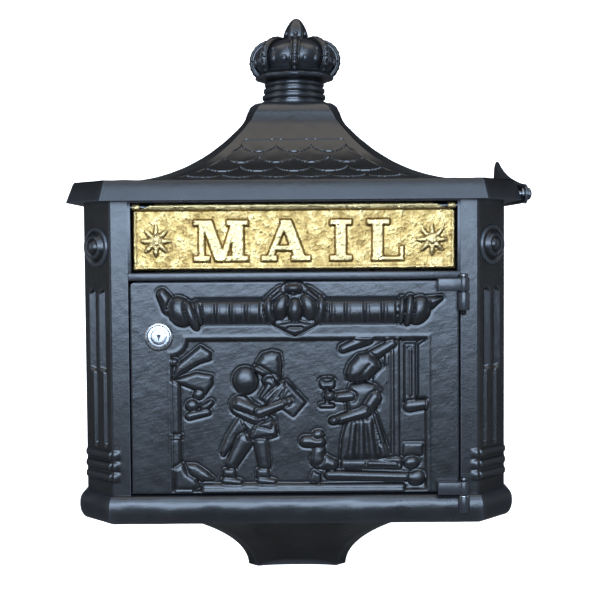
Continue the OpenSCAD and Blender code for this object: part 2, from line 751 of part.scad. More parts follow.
front_frame();
left_side_panel();
right_side_panel();
back_panel();
base_casting();
corbel();
roof();
crown_finial();
finial_bolt();
finial_washer();
roof_screws();
back_screws();
base_screws();
corbel_screws();
side_screws();
door();
upper_hinge_pin();
lower_hinge_pin();
lock_barrel();
lock_nut();
lock_plug();
lock_cam();
cam_screw();
mail_flap();
flap_rod();
rod_straps();
strap_screws();
signal_flag();
flag_bolt();
flag_washer();
flag_nut();
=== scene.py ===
# %% [markdown]
# # A cast metal wall mailbox
# This lesson dresses a working model of a mailbox. The model gives every part its place and
# its size; the cells below give the castings, the brass and the lock their real shapes and
# finishes. The maker's order is kept: light and camera first, then finishes, then one casting
# after another. Lengths are in metres, the wall is the plane y = 0 and the front looks along -Y.

# %% Load the working model
import math
import bpy
import numpy as np
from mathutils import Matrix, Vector


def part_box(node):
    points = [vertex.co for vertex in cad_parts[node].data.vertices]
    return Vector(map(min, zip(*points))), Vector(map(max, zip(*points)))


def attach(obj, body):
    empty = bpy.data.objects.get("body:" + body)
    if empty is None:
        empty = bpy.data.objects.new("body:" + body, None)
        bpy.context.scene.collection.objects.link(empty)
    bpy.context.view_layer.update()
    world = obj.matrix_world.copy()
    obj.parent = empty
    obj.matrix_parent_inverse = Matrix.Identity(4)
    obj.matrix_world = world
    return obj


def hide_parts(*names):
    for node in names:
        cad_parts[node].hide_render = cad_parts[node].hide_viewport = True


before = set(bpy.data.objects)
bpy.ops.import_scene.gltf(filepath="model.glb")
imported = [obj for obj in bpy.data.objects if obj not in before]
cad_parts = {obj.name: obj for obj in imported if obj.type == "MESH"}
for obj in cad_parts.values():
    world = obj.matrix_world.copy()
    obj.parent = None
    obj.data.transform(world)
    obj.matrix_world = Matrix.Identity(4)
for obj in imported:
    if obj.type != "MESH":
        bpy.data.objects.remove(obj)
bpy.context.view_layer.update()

MM = 0.001

# %% [markdown]
# ## Camera and light
# A product shot on a white ground: a long lens keeps the upright edges upright. A glossy black
# casting has almost no colour of its own, so what we see is the light it mirrors. A wide soft
# light overhead whitens the roof, two tall ones draw the cut corners, and the front is left
# darker so that the relief stands out by its highlights.

# %% Camera
EYE = Vector((0.0045, -1.001, 0.075))
TILT_DOWN = math.radians(2.6)
ROLL = math.radians(0.42)
lens = bpy.data.cameras.new("camera")
lens.lens = 66
camera = bpy.data.objects.new("camera", lens)
bpy.context.scene.collection.objects.link(camera)
camera.location = EYE
camera.rotation_euler = (math.radians(90) - TILT_DOWN, ROLL, 0)
bpy.context.scene.camera = camera

# %% Light
def soft_light(name, place, target, width, height, power, colour=(1, 1, 1)):
    """A rectangular studio light that looks from its place at a target."""
    data = bpy.data.lights.new(name, "AREA")
    data.shape = "RECTANGLE"
    data.size, data.size_y = width, height
    data.energy, data.color = power, colour
    lamp = bpy.data.objects.new(name, data)
    lamp.location = place
    aim = Vector(target) - Vector(place)
    lamp.rotation_euler = aim.to_track_quat("-Z", "Y").to_euler()
    bpy.context.scene.collection.objects.link(lamp)


SKY = (0.86, 0.93, 1.0)
soft_light("overhead", (0, -0.35, 1.4), (0, -0.1, 0), 2.0, 0.8, 10, (1, 0.93, 0.85))
soft_light("left_tall", (-1.7, -0.45, 0.5), (0, -0.1, 0), 0.6, 1.8, 6, SKY)
soft_light("right_tall", (1.8, -0.4, 0.45), (0, -0.1, 0), 0.6, 1.8, 4, SKY)
soft_light("front", (-0.15, -1.9, 0.4), (0, -0.15, 0.05), 1.7, 0.9, 58, (0.58, 0.75, 1.0))
soft_light("front_high", (0.05, -1.45, 1.25), (0, -0.15, 0.1), 1.6, 0.7, 17, (0.58, 0.75, 1.0))

world = bpy.data.worlds.new("studio")
world.use_nodes = True
world.node_tree.nodes["Background"].inputs["Color"].default_value = (0.72, 0.8, 0.92, 1)
world.node_tree.nodes["Background"].inputs["Strength"].default_value = 0.1
bpy.context.scene.world = world
bpy.context.scene.view_settings.view_transform = "Standard"

# %% [markdown]
# ## Helpers for mesh work
# Most castings here are one of three things: a loft through closed outlines, a turned shape, or
# a carved plate whose front is a height for each point of a grid. Each helper adds its faces to
# a Shell, and one Shell becomes one object, so a casting with lugs and bosses stays one piece.

# %% Shell: collects vertices and faces
class Shell:
    """Vertices and faces of one casting, gathered from several closed shapes."""

    def __init__(self):
        self.points, self.faces, self.count = [], [], 0

    def add(self, points, faces):
        points = np.asarray(points, float)
        self.points.append(points)
        self.faces += [[i + self.count for i in face] for face in faces]
        self.count += len(points)

    def add_rings(self, rings, cap=True):
        """Join closed outlines that have the same number of points, first to last."""
        rings = np.asarray(rings, float)
        levels, around = rings.shape[:2]
        index = np.arange(levels * around).reshape(levels, around)
        low, high = index[:-1], index[1:]
        quads = np.stack([low, np.roll(low, -1, 1), np.roll(high, -1, 1), high], -1)
        points, faces = rings.reshape(-1, 3), quads.reshape(-1, 4).tolist()
        if cap:
            middles = np.stack([rings[0].mean(0), rings[-1].mean(0)])
            a, b = levels * around, levels * around + 1
            points = np.vstack([points, middles])
            first, last = index[0], index[-1]
            faces += [[a, int(first[(i + 1) % around]), int(first[i])] for i in range(around)]
            faces += [[b, int(last[i]), int(last[(i + 1) % around])] for i in range(around)]
        self.add(points, faces)

    def add_lathe(self, profile, place=(0, 0, 0), axis="Z", steps=64, turn=None):
        """Turn (radius, height) points about an axis; turn can shape the radius by angle."""
        angle = np.linspace(0, 2 * math.pi, steps, endpoint=False)
        rings = []
        for radius, height in profile:
            reach = radius * (turn(angle, height) if turn else np.ones(steps))
            flat = np.stack([reach * np.cos(angle), reach * np.sin(angle),
                             np.full(steps, height)], -1)
            rings.append(flat)
        rings = np.array(rings)
        if axis == "Y":
            rings = np.stack([rings[..., 0], rings[..., 2], -rings[..., 1]], -1)
        if axis == "front":
            rings = np.stack([rings[..., 0], -rings[..., 2], rings[..., 1]], -1)
        if axis == "X":
            rings = np.stack([rings[..., 2], rings[..., 0], rings[..., 1]], -1)
        self.add_rings(rings + np.array(place))

    def add_plate(self, x, z, front, back, keep=None):
        """A carved plate: front and back are y for each grid point, keep says which cells stay."""
        rows, columns = front.shape
        grid_x, grid_z = (x, z) if np.ndim(x) == 2 else np.meshgrid(x, z)
        total = rows * columns
        points = np.vstack([np.stack([grid_x, front, grid_z], -1).reshape(-1, 3),
                            np.stack([grid_x, back, grid_z], -1).reshape(-1, 3)])
        keep = np.ones((rows - 1, columns - 1), bool) if keep is None else keep
        index = np.arange(total).reshape(rows, columns)
        a, b = index[:-1, :-1], index[:-1, 1:]
        c, d = index[1:, 1:], index[1:, :-1]
        quads = np.stack([a, b, c, d], -1)[keep]
        faces = quads.tolist() + (quads[:, ::-1] + total).tolist()
        padded = np.pad(keep, 1)
        for step, (first, second) in {(0, -1): (d, a), (0, 1): (b, c),
                                      (-1, 0): (a, b), (1, 0): (c, d)}.items():
            beside = padded[1 + step[0]:rows + step[0], 1 + step[1]:columns + step[1]]
            rim = keep & ~beside
            p, q = first[rim], second[rim]
            faces += np.stack([q, p, p + total, q + total], -1).tolist()
        used = np.unique(np.array([i for face in faces for i in face]))
        lookup = np.full(2 * total, -1)
        lookup[used] = np.arange(len(used))
        self.add(points[used], [[int(lookup[i]) for i in face] for face in faces])

    def build(self, name, body, finish, replaces=(), smooth=40):
        """Make the object, ride it on its body and hide the parts it replaces."""
        mesh = bpy.data.meshes.new(name)
        mesh.from_pydata(np.vstack(self.points).tolist(), [], self.faces)
        mesh.validate()
        mesh.update()
        piece = bpy.data.objects.new(name, mesh)
        bpy.context.scene.collection.objects.link(piece)
        mesh.materials.append(finish)
        mesh.set_sharp_from_angle(angle=math.radians(smooth))
        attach(piece, body)
        if replaces:
            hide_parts(*replaces)
        print(f"{name}: {len(mesh.vertices)} points")
        return piece


# %% Small maths helpers
def smoothstep(value, start, end):
    """0 before start, 1 after end, an S curve between them."""
    t = np.clip((value - start) / (end - start), 0, 1)
    return t * t * (3 - 2 * t)


def ripple(a, b, scale, seed):
    """Gentle casting waviness, about -1 to 1, from a few sine waves of chosen directions."""
    rng = np.random.default_rng(seed)
    total = np.zeros(np.broadcast(a, b).shape)
    for _ in range(7):
        turn, phase = rng.uniform(0, 2 * math.pi, 2)
        wave = rng.uniform(0.6, 1.7) / scale
        total += np.sin(wave * (a * math.cos(turn) + b * math.sin(turn)) * 2 * math.pi + phase)
    return total / 4


def middle(node):
    """Middle of a part's box."""
    low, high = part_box(node)
    return (Vector(low) + Vector(high)) / 2

# %% [markdown]
# ## Finishes
# Each finish is a small tree of nodes in the object's own coordinates, so grain keeps its real
# size on every part. The paint is a semi-gloss black over a sand casting: a fine orange peel, the
# slow waves of the sand mould under it, and greyer paint where an edge stands proud, partly
# thinner worn paint and partly a painted highlight.

# %% Node helpers
def new_finish(name):
    """A material with an empty Principled surface, and short ways to add nodes to it."""
    material = bpy.data.materials.new(name)
    material.use_nodes = True
    tree = material.node_tree
    surface = tree.nodes["Principled BSDF"]
    spot = tree.nodes.new("ShaderNodeTexCoord").outputs["Object"]
    return material, tree, surface, spot


def noise(tree, spot, scale, detail=3.0, rough=0.5):
    node = tree.nodes.new("ShaderNodeTexNoise")
    node.inputs["Scale"].default_value = scale
    node.inputs["Detail"].default_value = detail
    node.inputs["Roughness"].default_value = rough
    tree.links.new(spot, node.inputs["Vector"])
    return node.outputs["Fac"]


def ramp(tree, source, *stops):
    """Colour ramp: each stop is (place, colour), where a colour is grey or (r, g, b)."""
    node = tree.nodes.new("ShaderNodeValToRGB")
    while len(node.color_ramp.elements) < len(stops):
        node.color_ramp.elements.new(0.5)
    for element, (place, colour) in zip(node.color_ramp.elements, stops):
        element.position = place
        rgb = (colour,) * 3 if isinstance(colour, (int, float)) else colour
        element.color = (*rgb, 1)
    tree.links.new(source, node.inputs["Fac"])
    return node.outputs["Color"]


def blend_colour(tree, share, low, high, mode="MIX"):
    node = tree.nodes.new("ShaderNodeMix")
    node.data_type, node.blend_type = "RGBA", mode
    for socket, value in zip((node.inputs["Factor"], node.inputs["A"], node.inputs["B"]),
                             (share, low, high)):
        if hasattr(value, "is_linked"):
            tree.links.new(value, socket)
        else:
            socket.default_value = value
    return node.outputs["Result"]


def bump(tree, height, strength, depth, under=None):
    node = tree.nodes.new("ShaderNodeBump")
    node.inputs["Strength"].default_value = strength
    node.inputs["Distance"].default_value = depth
    tree.links.new(height, node.inputs["Height"])
    if under is not None:
        tree.links.new(under, node.inputs["Normal"])
    return node.outputs["Normal"]


def pointiness(tree, *stops):
    """Light on outside edges and dark in corners, through a ramp."""
    return ramp(tree, tree.nodes.new("ShaderNodeNewGeometry").outputs["Pointiness"], *stops)


# %% Black paint on a casting
def make_paint(name, rough_low, rough_high, lumps):
    material, tree, surface, spot = new_finish(name)
    fade = ramp(tree, noise(tree, spot, 34, 5), (0.3, (0.0040, 0.0038, 0.0036)),
                (0.72, (0.0072, 0.0070, 0.0070)))
    # proud edges turn greyer: partly thinner worn paint, partly a painted highlight
    edge = pointiness(tree, (0.5, 0), (0.58, 1))
    worn = blend_colour(tree, edge, fade, (0.02, 0.022, 0.026, 1))
    dust = ramp(tree, noise(tree, spot, 900, 2), (0.66, 0), (0.78, 0.35))
    colour = blend_colour(tree, dust, worn, (0.035, 0.037, 0.041, 1))
    tree.links.new(colour, surface.inputs["Base Color"])
    patches = ramp(tree, noise(tree, spot, 55, 4), (0.32, rough_low), (0.7, rough_high))
    tree.links.new(patches, surface.inputs["Roughness"])
    waves = bump(tree, noise(tree, spot, 150, 3, 0.55), lumps, 0.0009)
    peel = bump(tree, noise(tree, spot, 850, 2, 0.5), 0.26, 0.00022, waves)
    tree.links.new(peel, surface.inputs["Normal"])
    surface.inputs["Specular IOR Level"].default_value = 0.55
    return material


paint = make_paint("satin_black_paint", 0.27, 0.33, 0.22)
paint_sand = make_paint("black_paint_on_rough_casting", 0.3, 0.44, 0.5)
paint_gloss = make_paint("gloss_black_paint", 0.16, 0.26, 0.14)

# %% [markdown]
# Cast brass left raw: the ground is hammered and has gone brown in its pits, the raised letters
# and the rim have been rubbed bright. The colour follows the same noise as the bump, so that
# every dark fleck sits in a hollow.

# %% Brass
def make_brass():
    material, tree, surface, spot = new_finish("hammered_cast_brass")
    pits = noise(tree, spot, 125, 7, 0.66)
    tone = ramp(tree, pits, (0.3, (0.2, 0.11, 0.035)), (0.46, (0.54, 0.35, 0.12)),
                (0.58, (0.86, 0.63, 0.27)), (0.76, (0.96, 0.8, 0.46)))
    clouds = ramp(tree, noise(tree, spot, 22, 3), (0.3, 0), (0.75, 0.6))
    cloudy = blend_colour(tree, clouds, tone, (0.66, 0.45, 0.15, 1))
    rim = pointiness(tree, (0.46, 0), (0.49, 0.6), (0.6, 1))
    worn = blend_colour(tree, rim, (0.2, 0.115, 0.035, 1), cloudy)
    depth = tree.nodes.new("ShaderNodeSeparateXYZ")
    tree.links.new(spot, depth.inputs["Vector"])
    proud = tree.nodes.new("ShaderNodeMapRange")
    tree.links.new(depth.outputs["Y"], proud.inputs["Value"])
    proud.inputs["From Min"].default_value = -0.1629
    proud.inputs["From Max"].default_value = -0.1647
    rubbed = blend_colour(tree, ramp(tree, proud.outputs["Result"], (0, 0.0), (1, 0.7)), worn,
                          (0.8, 0.62, 0.3, 1))
    tree.links.new(rubbed, surface.inputs["Base Color"])
    tree.links.new(ramp(tree, pits, (0.35, 0.46), (0.7, 0.2)), surface.inputs["Roughness"])
    coarse = bump(tree, pits, 0.85, 0.002)
    fine = bump(tree, noise(tree, spot, 900, 3, 0.6), 0.4, 0.0004, coarse)
    tree.links.new(fine, surface.inputs["Normal"])
    surface.inputs["Metallic"].default_value = 1.0
    return material


brass = make_brass()

# %% [markdown]
# The lock is nickel plated and polished; the pins and screws are zinc plated steel with a dull
# grain and a trace of brown in the corners.

# %% Plated metals
def make_plated(name, bright, dull, rough_low, rough_high, grain):
    material, tree, surface, spot = new_finish(name)
    stain = ramp(tree, noise(tree, spot, 240, 5, 0.6), (0.34, dull), (0.6, bright))
    corner = pointiness(tree, (0.42, 0.0), (0.5, 1.0))
    tree.links.new(blend_colour(tree, corner, (0.16, 0.14, 0.12, 1), stain),
                   surface.inputs["Base Color"])
    tree.links.new(ramp(tree, noise(tree, spot, 600, 4), (0.3, rough_low), (0.7, rough_high)),
                   surface.inputs["Roughness"])
    tree.links.new(bump(tree, noise(tree, spot, 1400, 3), grain, 0.00012),
                   surface.inputs["Normal"])
    surface.inputs["Metallic"].default_value = 1.0
    return material


nickel = make_plated("polished_nickel", (0.5, 0.5, 0.51), (0.34, 0.33, 0.32), 0.22, 0.36, 0.12)
zinc = make_plated("zinc_plated_steel", (0.62, 0.63, 0.64), (0.36, 0.36, 0.35), 0.3, 0.5, 0.35)
worn_pin = make_plated("pin_under_worn_paint", (0.16, 0.16, 0.165), (0.02, 0.02, 0.021), 0.26, 0.45,
                       0.3)
bare = make_plated("filed_bare_metal", (0.9, 0.9, 0.88), (0.66, 0.65, 0.62), 0.25, 0.4, 0.5)

# %% Finishes of the parts that keep their working shape
KEEP_PAINT = ["left_side_panel", "right_side_panel", "back_panel"]
KEEP_ZINC = ["finial_bolt", "finial_washer", "roof_screws", "back_screws", "base_screws",
             "corbel_screws", "side_screws", "lock_nut", "lock_cam", "cam_screw",
             "rod_straps", "strap_screws"]
KEEP_WORN = ["flap_rod", "flag_bolt", "flag_washer"]
for names, finish in ((KEEP_PAINT, paint_sand), (KEEP_ZINC, zinc), (KEEP_WORN, worn_pin)):
    for name in names:
        part = bpy.data.objects[name]
        part.data.materials.clear()
        part.data.materials.append(finish)
print("painted panels:", len(KEEP_PAINT), "plated parts:", len(KEEP_ZINC))

# %% [markdown]
# ## Stage
# A pale sweep: the floor lies below the foot of the box and curves up into a white ground far
# behind it, so that no shadow of the box falls on anything in view.

# %% Stage
def make_stage():
    floor_z, back_y, bend = -0.62, 1.6, 0.35
    profile = [(-3.0, floor_z)]
    for step in range(13):
        angle = math.radians(90 * step / 12)
        profile.append((back_y - bend + bend * math.sin(angle),
                        floor_z + bend - bend * math.cos(angle)))
    profile.append((back_y, 3.2))
    points = [(x, y, z) for y, z in profile for x in (-3.5, 3.5)]
    faces = [[2 * i, 2 * i + 1, 2 * i + 3, 2 * i + 2] for i in range(len(profile) - 1)]
    mesh = bpy.data.meshes.new("sweep")
    mesh.from_pydata(points, [], faces)
    sweep = bpy.data.objects.new("sweep", mesh)
    bpy.context.scene.collection.objects.link(sweep)
    material, tree, surface, spot = new_finish("white_paper")
    surface.inputs["Base Color"].default_value = (0.9, 0.9, 0.9, 1)
    surface.inputs["Roughness"].default_value = 0.9
    surface.inputs["Emission Color"].default_value = (1, 1, 1, 1)
    surface.inputs["Emission Strength"].default_value = 0.9
    mesh.materials.append(material)
    sweep.visible_glossy = False


make_stage()

# %% [markdown]
# ## Roof
# The real roof is one thin casting: a leaning eave band, four slopes that sag like a bell, and a
# block that carries the crown. Every slope has a sunk panel of fish-scale shingles between smooth
# hips. It could be modelled flat and given a shingle texture, but the scales break the outline
# and catch the light, so the skin is lofted from fine outlines and each point is pushed along
# its own normal by the height of the scale it lies on.

# %% Outline of the roof and its profile
roof_low, roof_high = (np.array(corner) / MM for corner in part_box("roof"))
EAVE_HALF, EAVE_DEPTH = roof_high[0], -roof_low[1]
EAVE_Z, BLOCK_TOP_Z = roof_low[2], roof_high[2]
BAND_H, BAND_LEAN, BAND_CORNER = 16, 6, 31.6
SLOPE_RISE, SAG = 51, 2.85
RIDGE_HALF, RIDGE_DEPTH, RIDGE_CORNER = 43, 84, 5
SEGMENTS = (100, 16, 330, 16, 100, 50)


def roof_outline(half, depth, corner, z, back=0.0):
    """One level of the roof, from the left back corner round the front to the right."""
    stops = np.array([[-half, -back], [-half, corner - depth], [corner - half, -depth],
                      [half - corner, -depth], [half, corner - depth], [half, -back],
                      [-half, -back]])
    runs = [stops[i] + (stops[i + 1] - stops[i]) * np.arange(n)[:, None] / n
            for i, n in enumerate(SEGMENTS)]
    flat = np.vstack(runs)
    return np.column_stack([flat, np.full(len(flat), z)])


def slope_level(share, inset=0.0, back=0.0):
    """A level of the slopes at a share of their rise."""
    run = 1 - share
    half = RIDGE_HALF + (EAVE_HALF - BAND_LEAN - RIDGE_HALF) * run
    depth = RIDGE_DEPTH + (EAVE_DEPTH - BAND_LEAN - RIDGE_DEPTH) * run
    z = EAVE_Z + BAND_H + SLOPE_RISE * share ** SAG
    return roof_outline(half - inset, depth - inset, RIDGE_CORNER + 23 * run,
                        z - (4 if inset else 0), back)


# %% Fish-scale shingles as a height
SCALE_WIDTH, SCALE_PITCH, SCALE_DROP, SCALE_THICK = 28.5, 13.6, 9.5, 1.7


def shingles(across, up):
    """Height of overlapping round-ended scales; up runs from the eave to the ridge."""
    row = np.floor(up / SCALE_PITCH)
    height = np.zeros(up.shape)
    done = np.zeros(up.shape, bool)
    for lower in (0, 1):
        this_row = row - lower
        offset = np.mod(this_row, 2) * SCALE_WIDTH / 2
        aside = np.mod(across - offset + SCALE_WIDTH / 2, SCALE_WIDTH) - SCALE_WIDTH / 2
        curve = np.sqrt(np.clip(1 - (2 * aside / SCALE_WIDTH) ** 2, 0, 1))
        inward = up - (this_row * SCALE_PITCH + SCALE_DROP * (1 - curve))
        slope = SCALE_THICK * (1 - 0.36 * (up - this_row * SCALE_PITCH) / SCALE_PITCH)
        take = (inward > 0) & ~done
        height[take] = (slope * smoothstep(inward, -0.2, 1.0))[take]
        done |= inward > 0
    return height


# %% Roof skin
RIDGE_SHARE, HIP_BAND, PANEL_SUNK = 0.9, 9.0, 1.5


def build_roof():
    shares = np.linspace(0, 1, 150) ** 0.9
    slopes = np.array([slope_level(share) for share in shares])
    up = np.zeros((len(shares), slopes.shape[1]))
    up[1:] = np.cumsum(np.linalg.norm(np.diff(slopes, axis=0)[:, :, 1:], axis=-1), 0)
    side_up = np.cumsum(np.linalg.norm(np.diff(slopes, axis=0)[:, :, [0, 2]], axis=-1), 0)
    start = np.cumsum((0,) + SEGMENTS)
    normals = np.cross(np.roll(slopes, -1, 1) - np.roll(slopes, 1, 1), np.gradient(slopes, axis=0))
    normals /= np.linalg.norm(normals, axis=-1, keepdims=True) + 1e-9
    push = np.zeros(up.shape)
    lower_edge = smoothstep(shares, 0.012, 0.03)
    upper_edge = 1 - smoothstep(shares, RIDGE_SHARE - 0.006, RIDGE_SHARE)
    for face in (0, 2, 4):
        span = slice(start[face], start[face + 1])
        if face == 2:
            across, rise = slopes[:, span, 0], up[:, span]
            reach = np.abs(across).max(1, keepdims=True)
            inside = smoothstep(reach - np.abs(across), HIP_BAND - 1, HIP_BAND)
        else:
            across = slopes[:, span, 1]
            rise = np.vstack([np.zeros((1, SEGMENTS[face])), side_up[:, span]])
            inside = (smoothstep(across - across.min(1, keepdims=True), HIP_BAND - 1, HIP_BAND)
                      * smoothstep(-across, 6, 7))
        inside = inside * (lower_edge * upper_edge)[:, None]
        push[:, span] = inside * (shingles(across, rise + 4) - PANEL_SUNK)
    push += 0.12 * ripple(slopes[..., 0], slopes[..., 1] + slopes[..., 2], 24, 3)
    push[:, start[5]:] = 0
    slopes = slopes + normals * push[..., None]
    slopes[:, start[5]:, 1] = 0
    slopes[:, :1, 1] = 0

    band = [(0.0, 0.0, 0.8), (0.0, 0.4, 0.3), (0.1, 1.2, 0.0), (0.5, BAND_H / 2, 0.0),
            (0.88, BAND_H - 1.6, 0.0), (0.97, BAND_H - 0.4, 0.4)]
    eave = [roof_outline(EAVE_HALF - BAND_LEAN * lean - tuck, EAVE_DEPTH - BAND_LEAN * lean - tuck,
                         BAND_CORNER - 3 * lean, EAVE_Z + rise) for lean, rise, tuck in band]
    block = [(0.0, 0.0), (2.2, 4.0), (4.2, 10.0), (6.6, 15.6), (10.2, 19.0), (12.5, 20.0)]
    top_z = BLOCK_TOP_Z - block[-1][1]
    top = [roof_outline(RIDGE_HALF - tuck, RIDGE_DEPTH - tuck, RIDGE_CORNER + 0.4 * tuck,
                        top_z + rise) for tuck, rise in block[1:]]
    body_half, body_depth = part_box("base_casting")[1][0] / MM - 6, 165
    inner = [slope_level(share, 6, 4) for share in (0.93, 0.8, 0.6, 0.4, 0.2, 0.0)]
    soffit = [roof_outline(EAVE_HALF - 5, EAVE_DEPTH - 5, BAND_CORNER, EAVE_Z + 4, 4),
              roof_outline(body_half + 0.4, body_depth + 0.4, 24.2, EAVE_Z + 4, 0),
              roof_outline(body_half + 0.4, body_depth + 0.4, 24.2, EAVE_Z, 0),
              roof_outline(body_half + 7, body_depth + 7, 27, EAVE_Z + 0.6, 0)]
    skin = Shell()
    skin.add_rings(np.array(inner + soffit + eave + list(slopes) + top) * MM)
    return skin.build("roof_with_shingles", "housing", paint, ["roof"], 32)


build_roof()

# %% [markdown]
# ## Crown
# The finial is a second casting bolted on the block: a neck with three rings, a scalloped hem, a
# puffed cap that swells between eight beaded straps, and a bud in the middle. Turned shapes come
# from a profile; the cap's radius also changes with the angle, which gives its lobes. The straps
# are swept along an arc, with a row of beads between two thin rims.

# %% Swept tubes and beads
def add_tube(shell, path, radius, steps=10):
    """Sweep a round bar along a path; radius may be one size or one for each point."""
    path = np.asarray(path, float)
    along = np.gradient(path, axis=0)
    along /= np.linalg.norm(along, axis=1, keepdims=True)
    guide = np.array([0, 0, 1.0]) if abs(along[:, 2]).mean() < 0.8 else np.array([0, 1.0, 0])
    side = np.cross(along, guide)
    side /= np.linalg.norm(side, axis=1, keepdims=True)
    lift = np.cross(side, along)
    angle = np.linspace(0, 2 * math.pi, steps, endpoint=False)
    size = np.broadcast_to(np.asarray(radius, float), len(path))[:, None, None]
    rings = path[:, None] + size * (np.cos(angle)[None, :, None] * side[:, None]
                                    + np.sin(angle)[None, :, None] * lift[:, None])
    shell.add_rings(rings)


def add_ball(shell, place, radius, squash=(1, 1, 1), steps=12):
    """A small cast bead."""
    bend = np.linspace(-math.pi / 2 * 0.97, math.pi / 2 * 0.97, steps // 2 + 2)
    angle = np.linspace(0, 2 * math.pi, steps, endpoint=False)
    rings = np.stack([np.cos(bend)[:, None] * np.cos(angle), np.cos(bend)[:, None] * np.sin(angle),
                      np.broadcast_to(np.sin(bend)[:, None], (len(bend), steps))], -1)
    shell.add_rings(rings * radius * np.array(squash) + np.array(place))


# %% Neck, cap, straps and bud
LEAN = 0.035  # the casting was bolted on slightly askew


def build_crown():
    low, high = (np.array(corner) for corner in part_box("crown_finial"))
    centre = np.array([(low[0] + high[0]) / 2, (low[1] + high[1]) / 2, low[2]])
    reach = (high[0] - low[0]) / 2 / MM - 1.4
    crown = Shell()

    neck = [(25.8, 0), (27.2, 0.5), (27.2, 2.6), (25.2, 3.3), (25.2, 4.2), (26.4, 4.8), (26.9, 6.5),
            (26.4, 8.2), (24.6, 8.9), (24.6, 9.6), (25.6, 10.2), (26.0, 11.8), (25.6, 13.4),
            (23.9, 14.0), (23.9, 14.7), (24.9, 15.3), (25.2, 16.9), (24.7, 18.4), (24.0, 19.2),
            (26.5, 20.2), (30.0, 20.8)]
    crown.add_lathe([(r * MM, z * 1.055 * MM) for r, z in neck], centre, steps=96,
                    turn=lambda angle, height: 1 + 0.022 * np.cos(4 * angle))

    def scallop(angle, height):
        return 1 + 0.035 * np.cos(8 * angle)

    hem = [(28.0, 20.2), (32.6, 20.4), (33.8, 21.6), (33.6, 23.4), (32.2, 24.4), (31.2, 25.2),
           (32.0, 26.4), (31.4, 27.4), (29.0, 28.0)]
    crown.add_lathe([(r * 0.97 * MM, (z + 1.3) * MM) for r, z in hem], centre, steps=128, turn=scallop)

    def lobed(angle, height):
        return 1 + 0.05 * np.abs(np.sin(4 * angle)) ** 0.7 - 0.03

    cap = [(29.0, 26.0), (31.8, 28.0), (34.0, 31.5), (35.4, 35.5), (35.6, 39.5), (34.4, 43.5),
           (31.6, 47.2), (27.4, 50.2), (22.0, 52.2), (16.0, 52.8), (10.0, 51.5), (5.0, 50.0)]
    crown.add_lathe([(r * 0.97 * MM, (z + 1.3) * MM) for r, z in cap], centre, steps=160, turn=lobed)

    bend = np.radians(np.linspace(-62, 128, 46))
    radius_out = 17.0
    run = np.column_stack([reach - radius_out - 0.6 + radius_out * np.cos(bend),
                           38.1 + radius_out * np.sin(bend)])
    length = np.concatenate([[0], np.cumsum(np.linalg.norm(np.diff(run, axis=0), axis=1))])
    bead_gap = 4.6
    for turn in range(8):
        angle = math.radians(45 * turn)
        out = np.array([math.cos(angle), math.sin(angle), 0])
        side = np.array([-math.sin(angle), math.cos(angle), 0])

        def strap_point(r, z, aside=0.0):
            return centre + (out * r + side * aside + np.array([0, 0, z])) * MM

        for aside in (-3.3, 3.3):
            add_tube(crown, [strap_point(r, z, aside) for r, z in run], 1.0 * MM, 8)
        bed = [strap_point(r - 1.3 * math.cos(b), z - 1.3 * math.sin(b))
               for (r, z), b in zip(run, bend)]
        add_tube(crown, bed, 3.2 * MM, 10)
        for place in np.arange(3.0, length[-1] - 2, bead_gap):
            r, z = (np.interp(place, length, run[:, i]) for i in (0, 1))
            add_ball(crown, strap_point(r + 0.1, z), 2.15 * MM, steps=12)
        for aside, r, z, size in ((-8.6, 33.2, 35.8, 2.6), (8.6, 33.2, 35.8, 2.6), (-6.4, 32.0, 43.8, 1.9),
                                  (6.4, 32.0, 43.8, 1.9)):
            add_ball(crown, strap_point(r, z, aside), size * MM, (1, 1, 1.3))
    bud = [(9.0, 51.0), (10.6, 52.6), (11.0, 54.8), (10.2, 56.4), (9.6, 57.6), (10.0, 59.4),
           (9.6, 62.0), (8.4, 65.4), (6.9, 68.6), (5.3, 71.2), (3.9, 73.0), (2.2, 74.4), (0.6, 74.9)]
    crown.add_lathe([(r * MM, z * MM) for r, z in bud], centre, steps=64,
                    turn=lambda angle, height: 1 + 0.07 * np.cos(6 * angle))
    for turn in range(6):
        angle = math.radians(60 * turn + 30)
        add_ball(crown, centre + np.array([math.cos(angle) * 9.0, math.sin(angle) * 9.0, 60.6]) * MM,
                 2.3 * MM)
    for points in crown.points:
        points[:, 0] += LEAN * (points[:, 2] - low[2])
    return crown.build("crown_casting", "housing", paint, ["crown_finial"], 50)


build_crown()

# %% [markdown]
# ## Front casting
# Two posts with cut corners carry the door and the flap; a thin sill ties them together. On
# every corner sit a turned boss, two upright flutes that are filled with reeds in their lower
# part, and three rings at the foot. Cutting flutes with booleans leaves hard edges, so a post is
# lofted up its height and each outline is dented where a flute runs, with rounded tops.

# %% Post outline
frame_low, frame_high = (np.array(corner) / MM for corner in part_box("front_frame"))
POST_Z0, POST_Z1 = frame_low[2], frame_high[2]
BODY_HALF = 164.0
BODY_DEPTH, CUT, WALL = 165.0, 24.0, 5.0
FRONT_HALF = BODY_HALF - CUT
STILE_IN = 126.5
CUT_FACE = CUT * math.sqrt(2)
FLUTE_TOP, FLUTE_FOOT, REED_TOP = 46.0, -76.0, -17.0


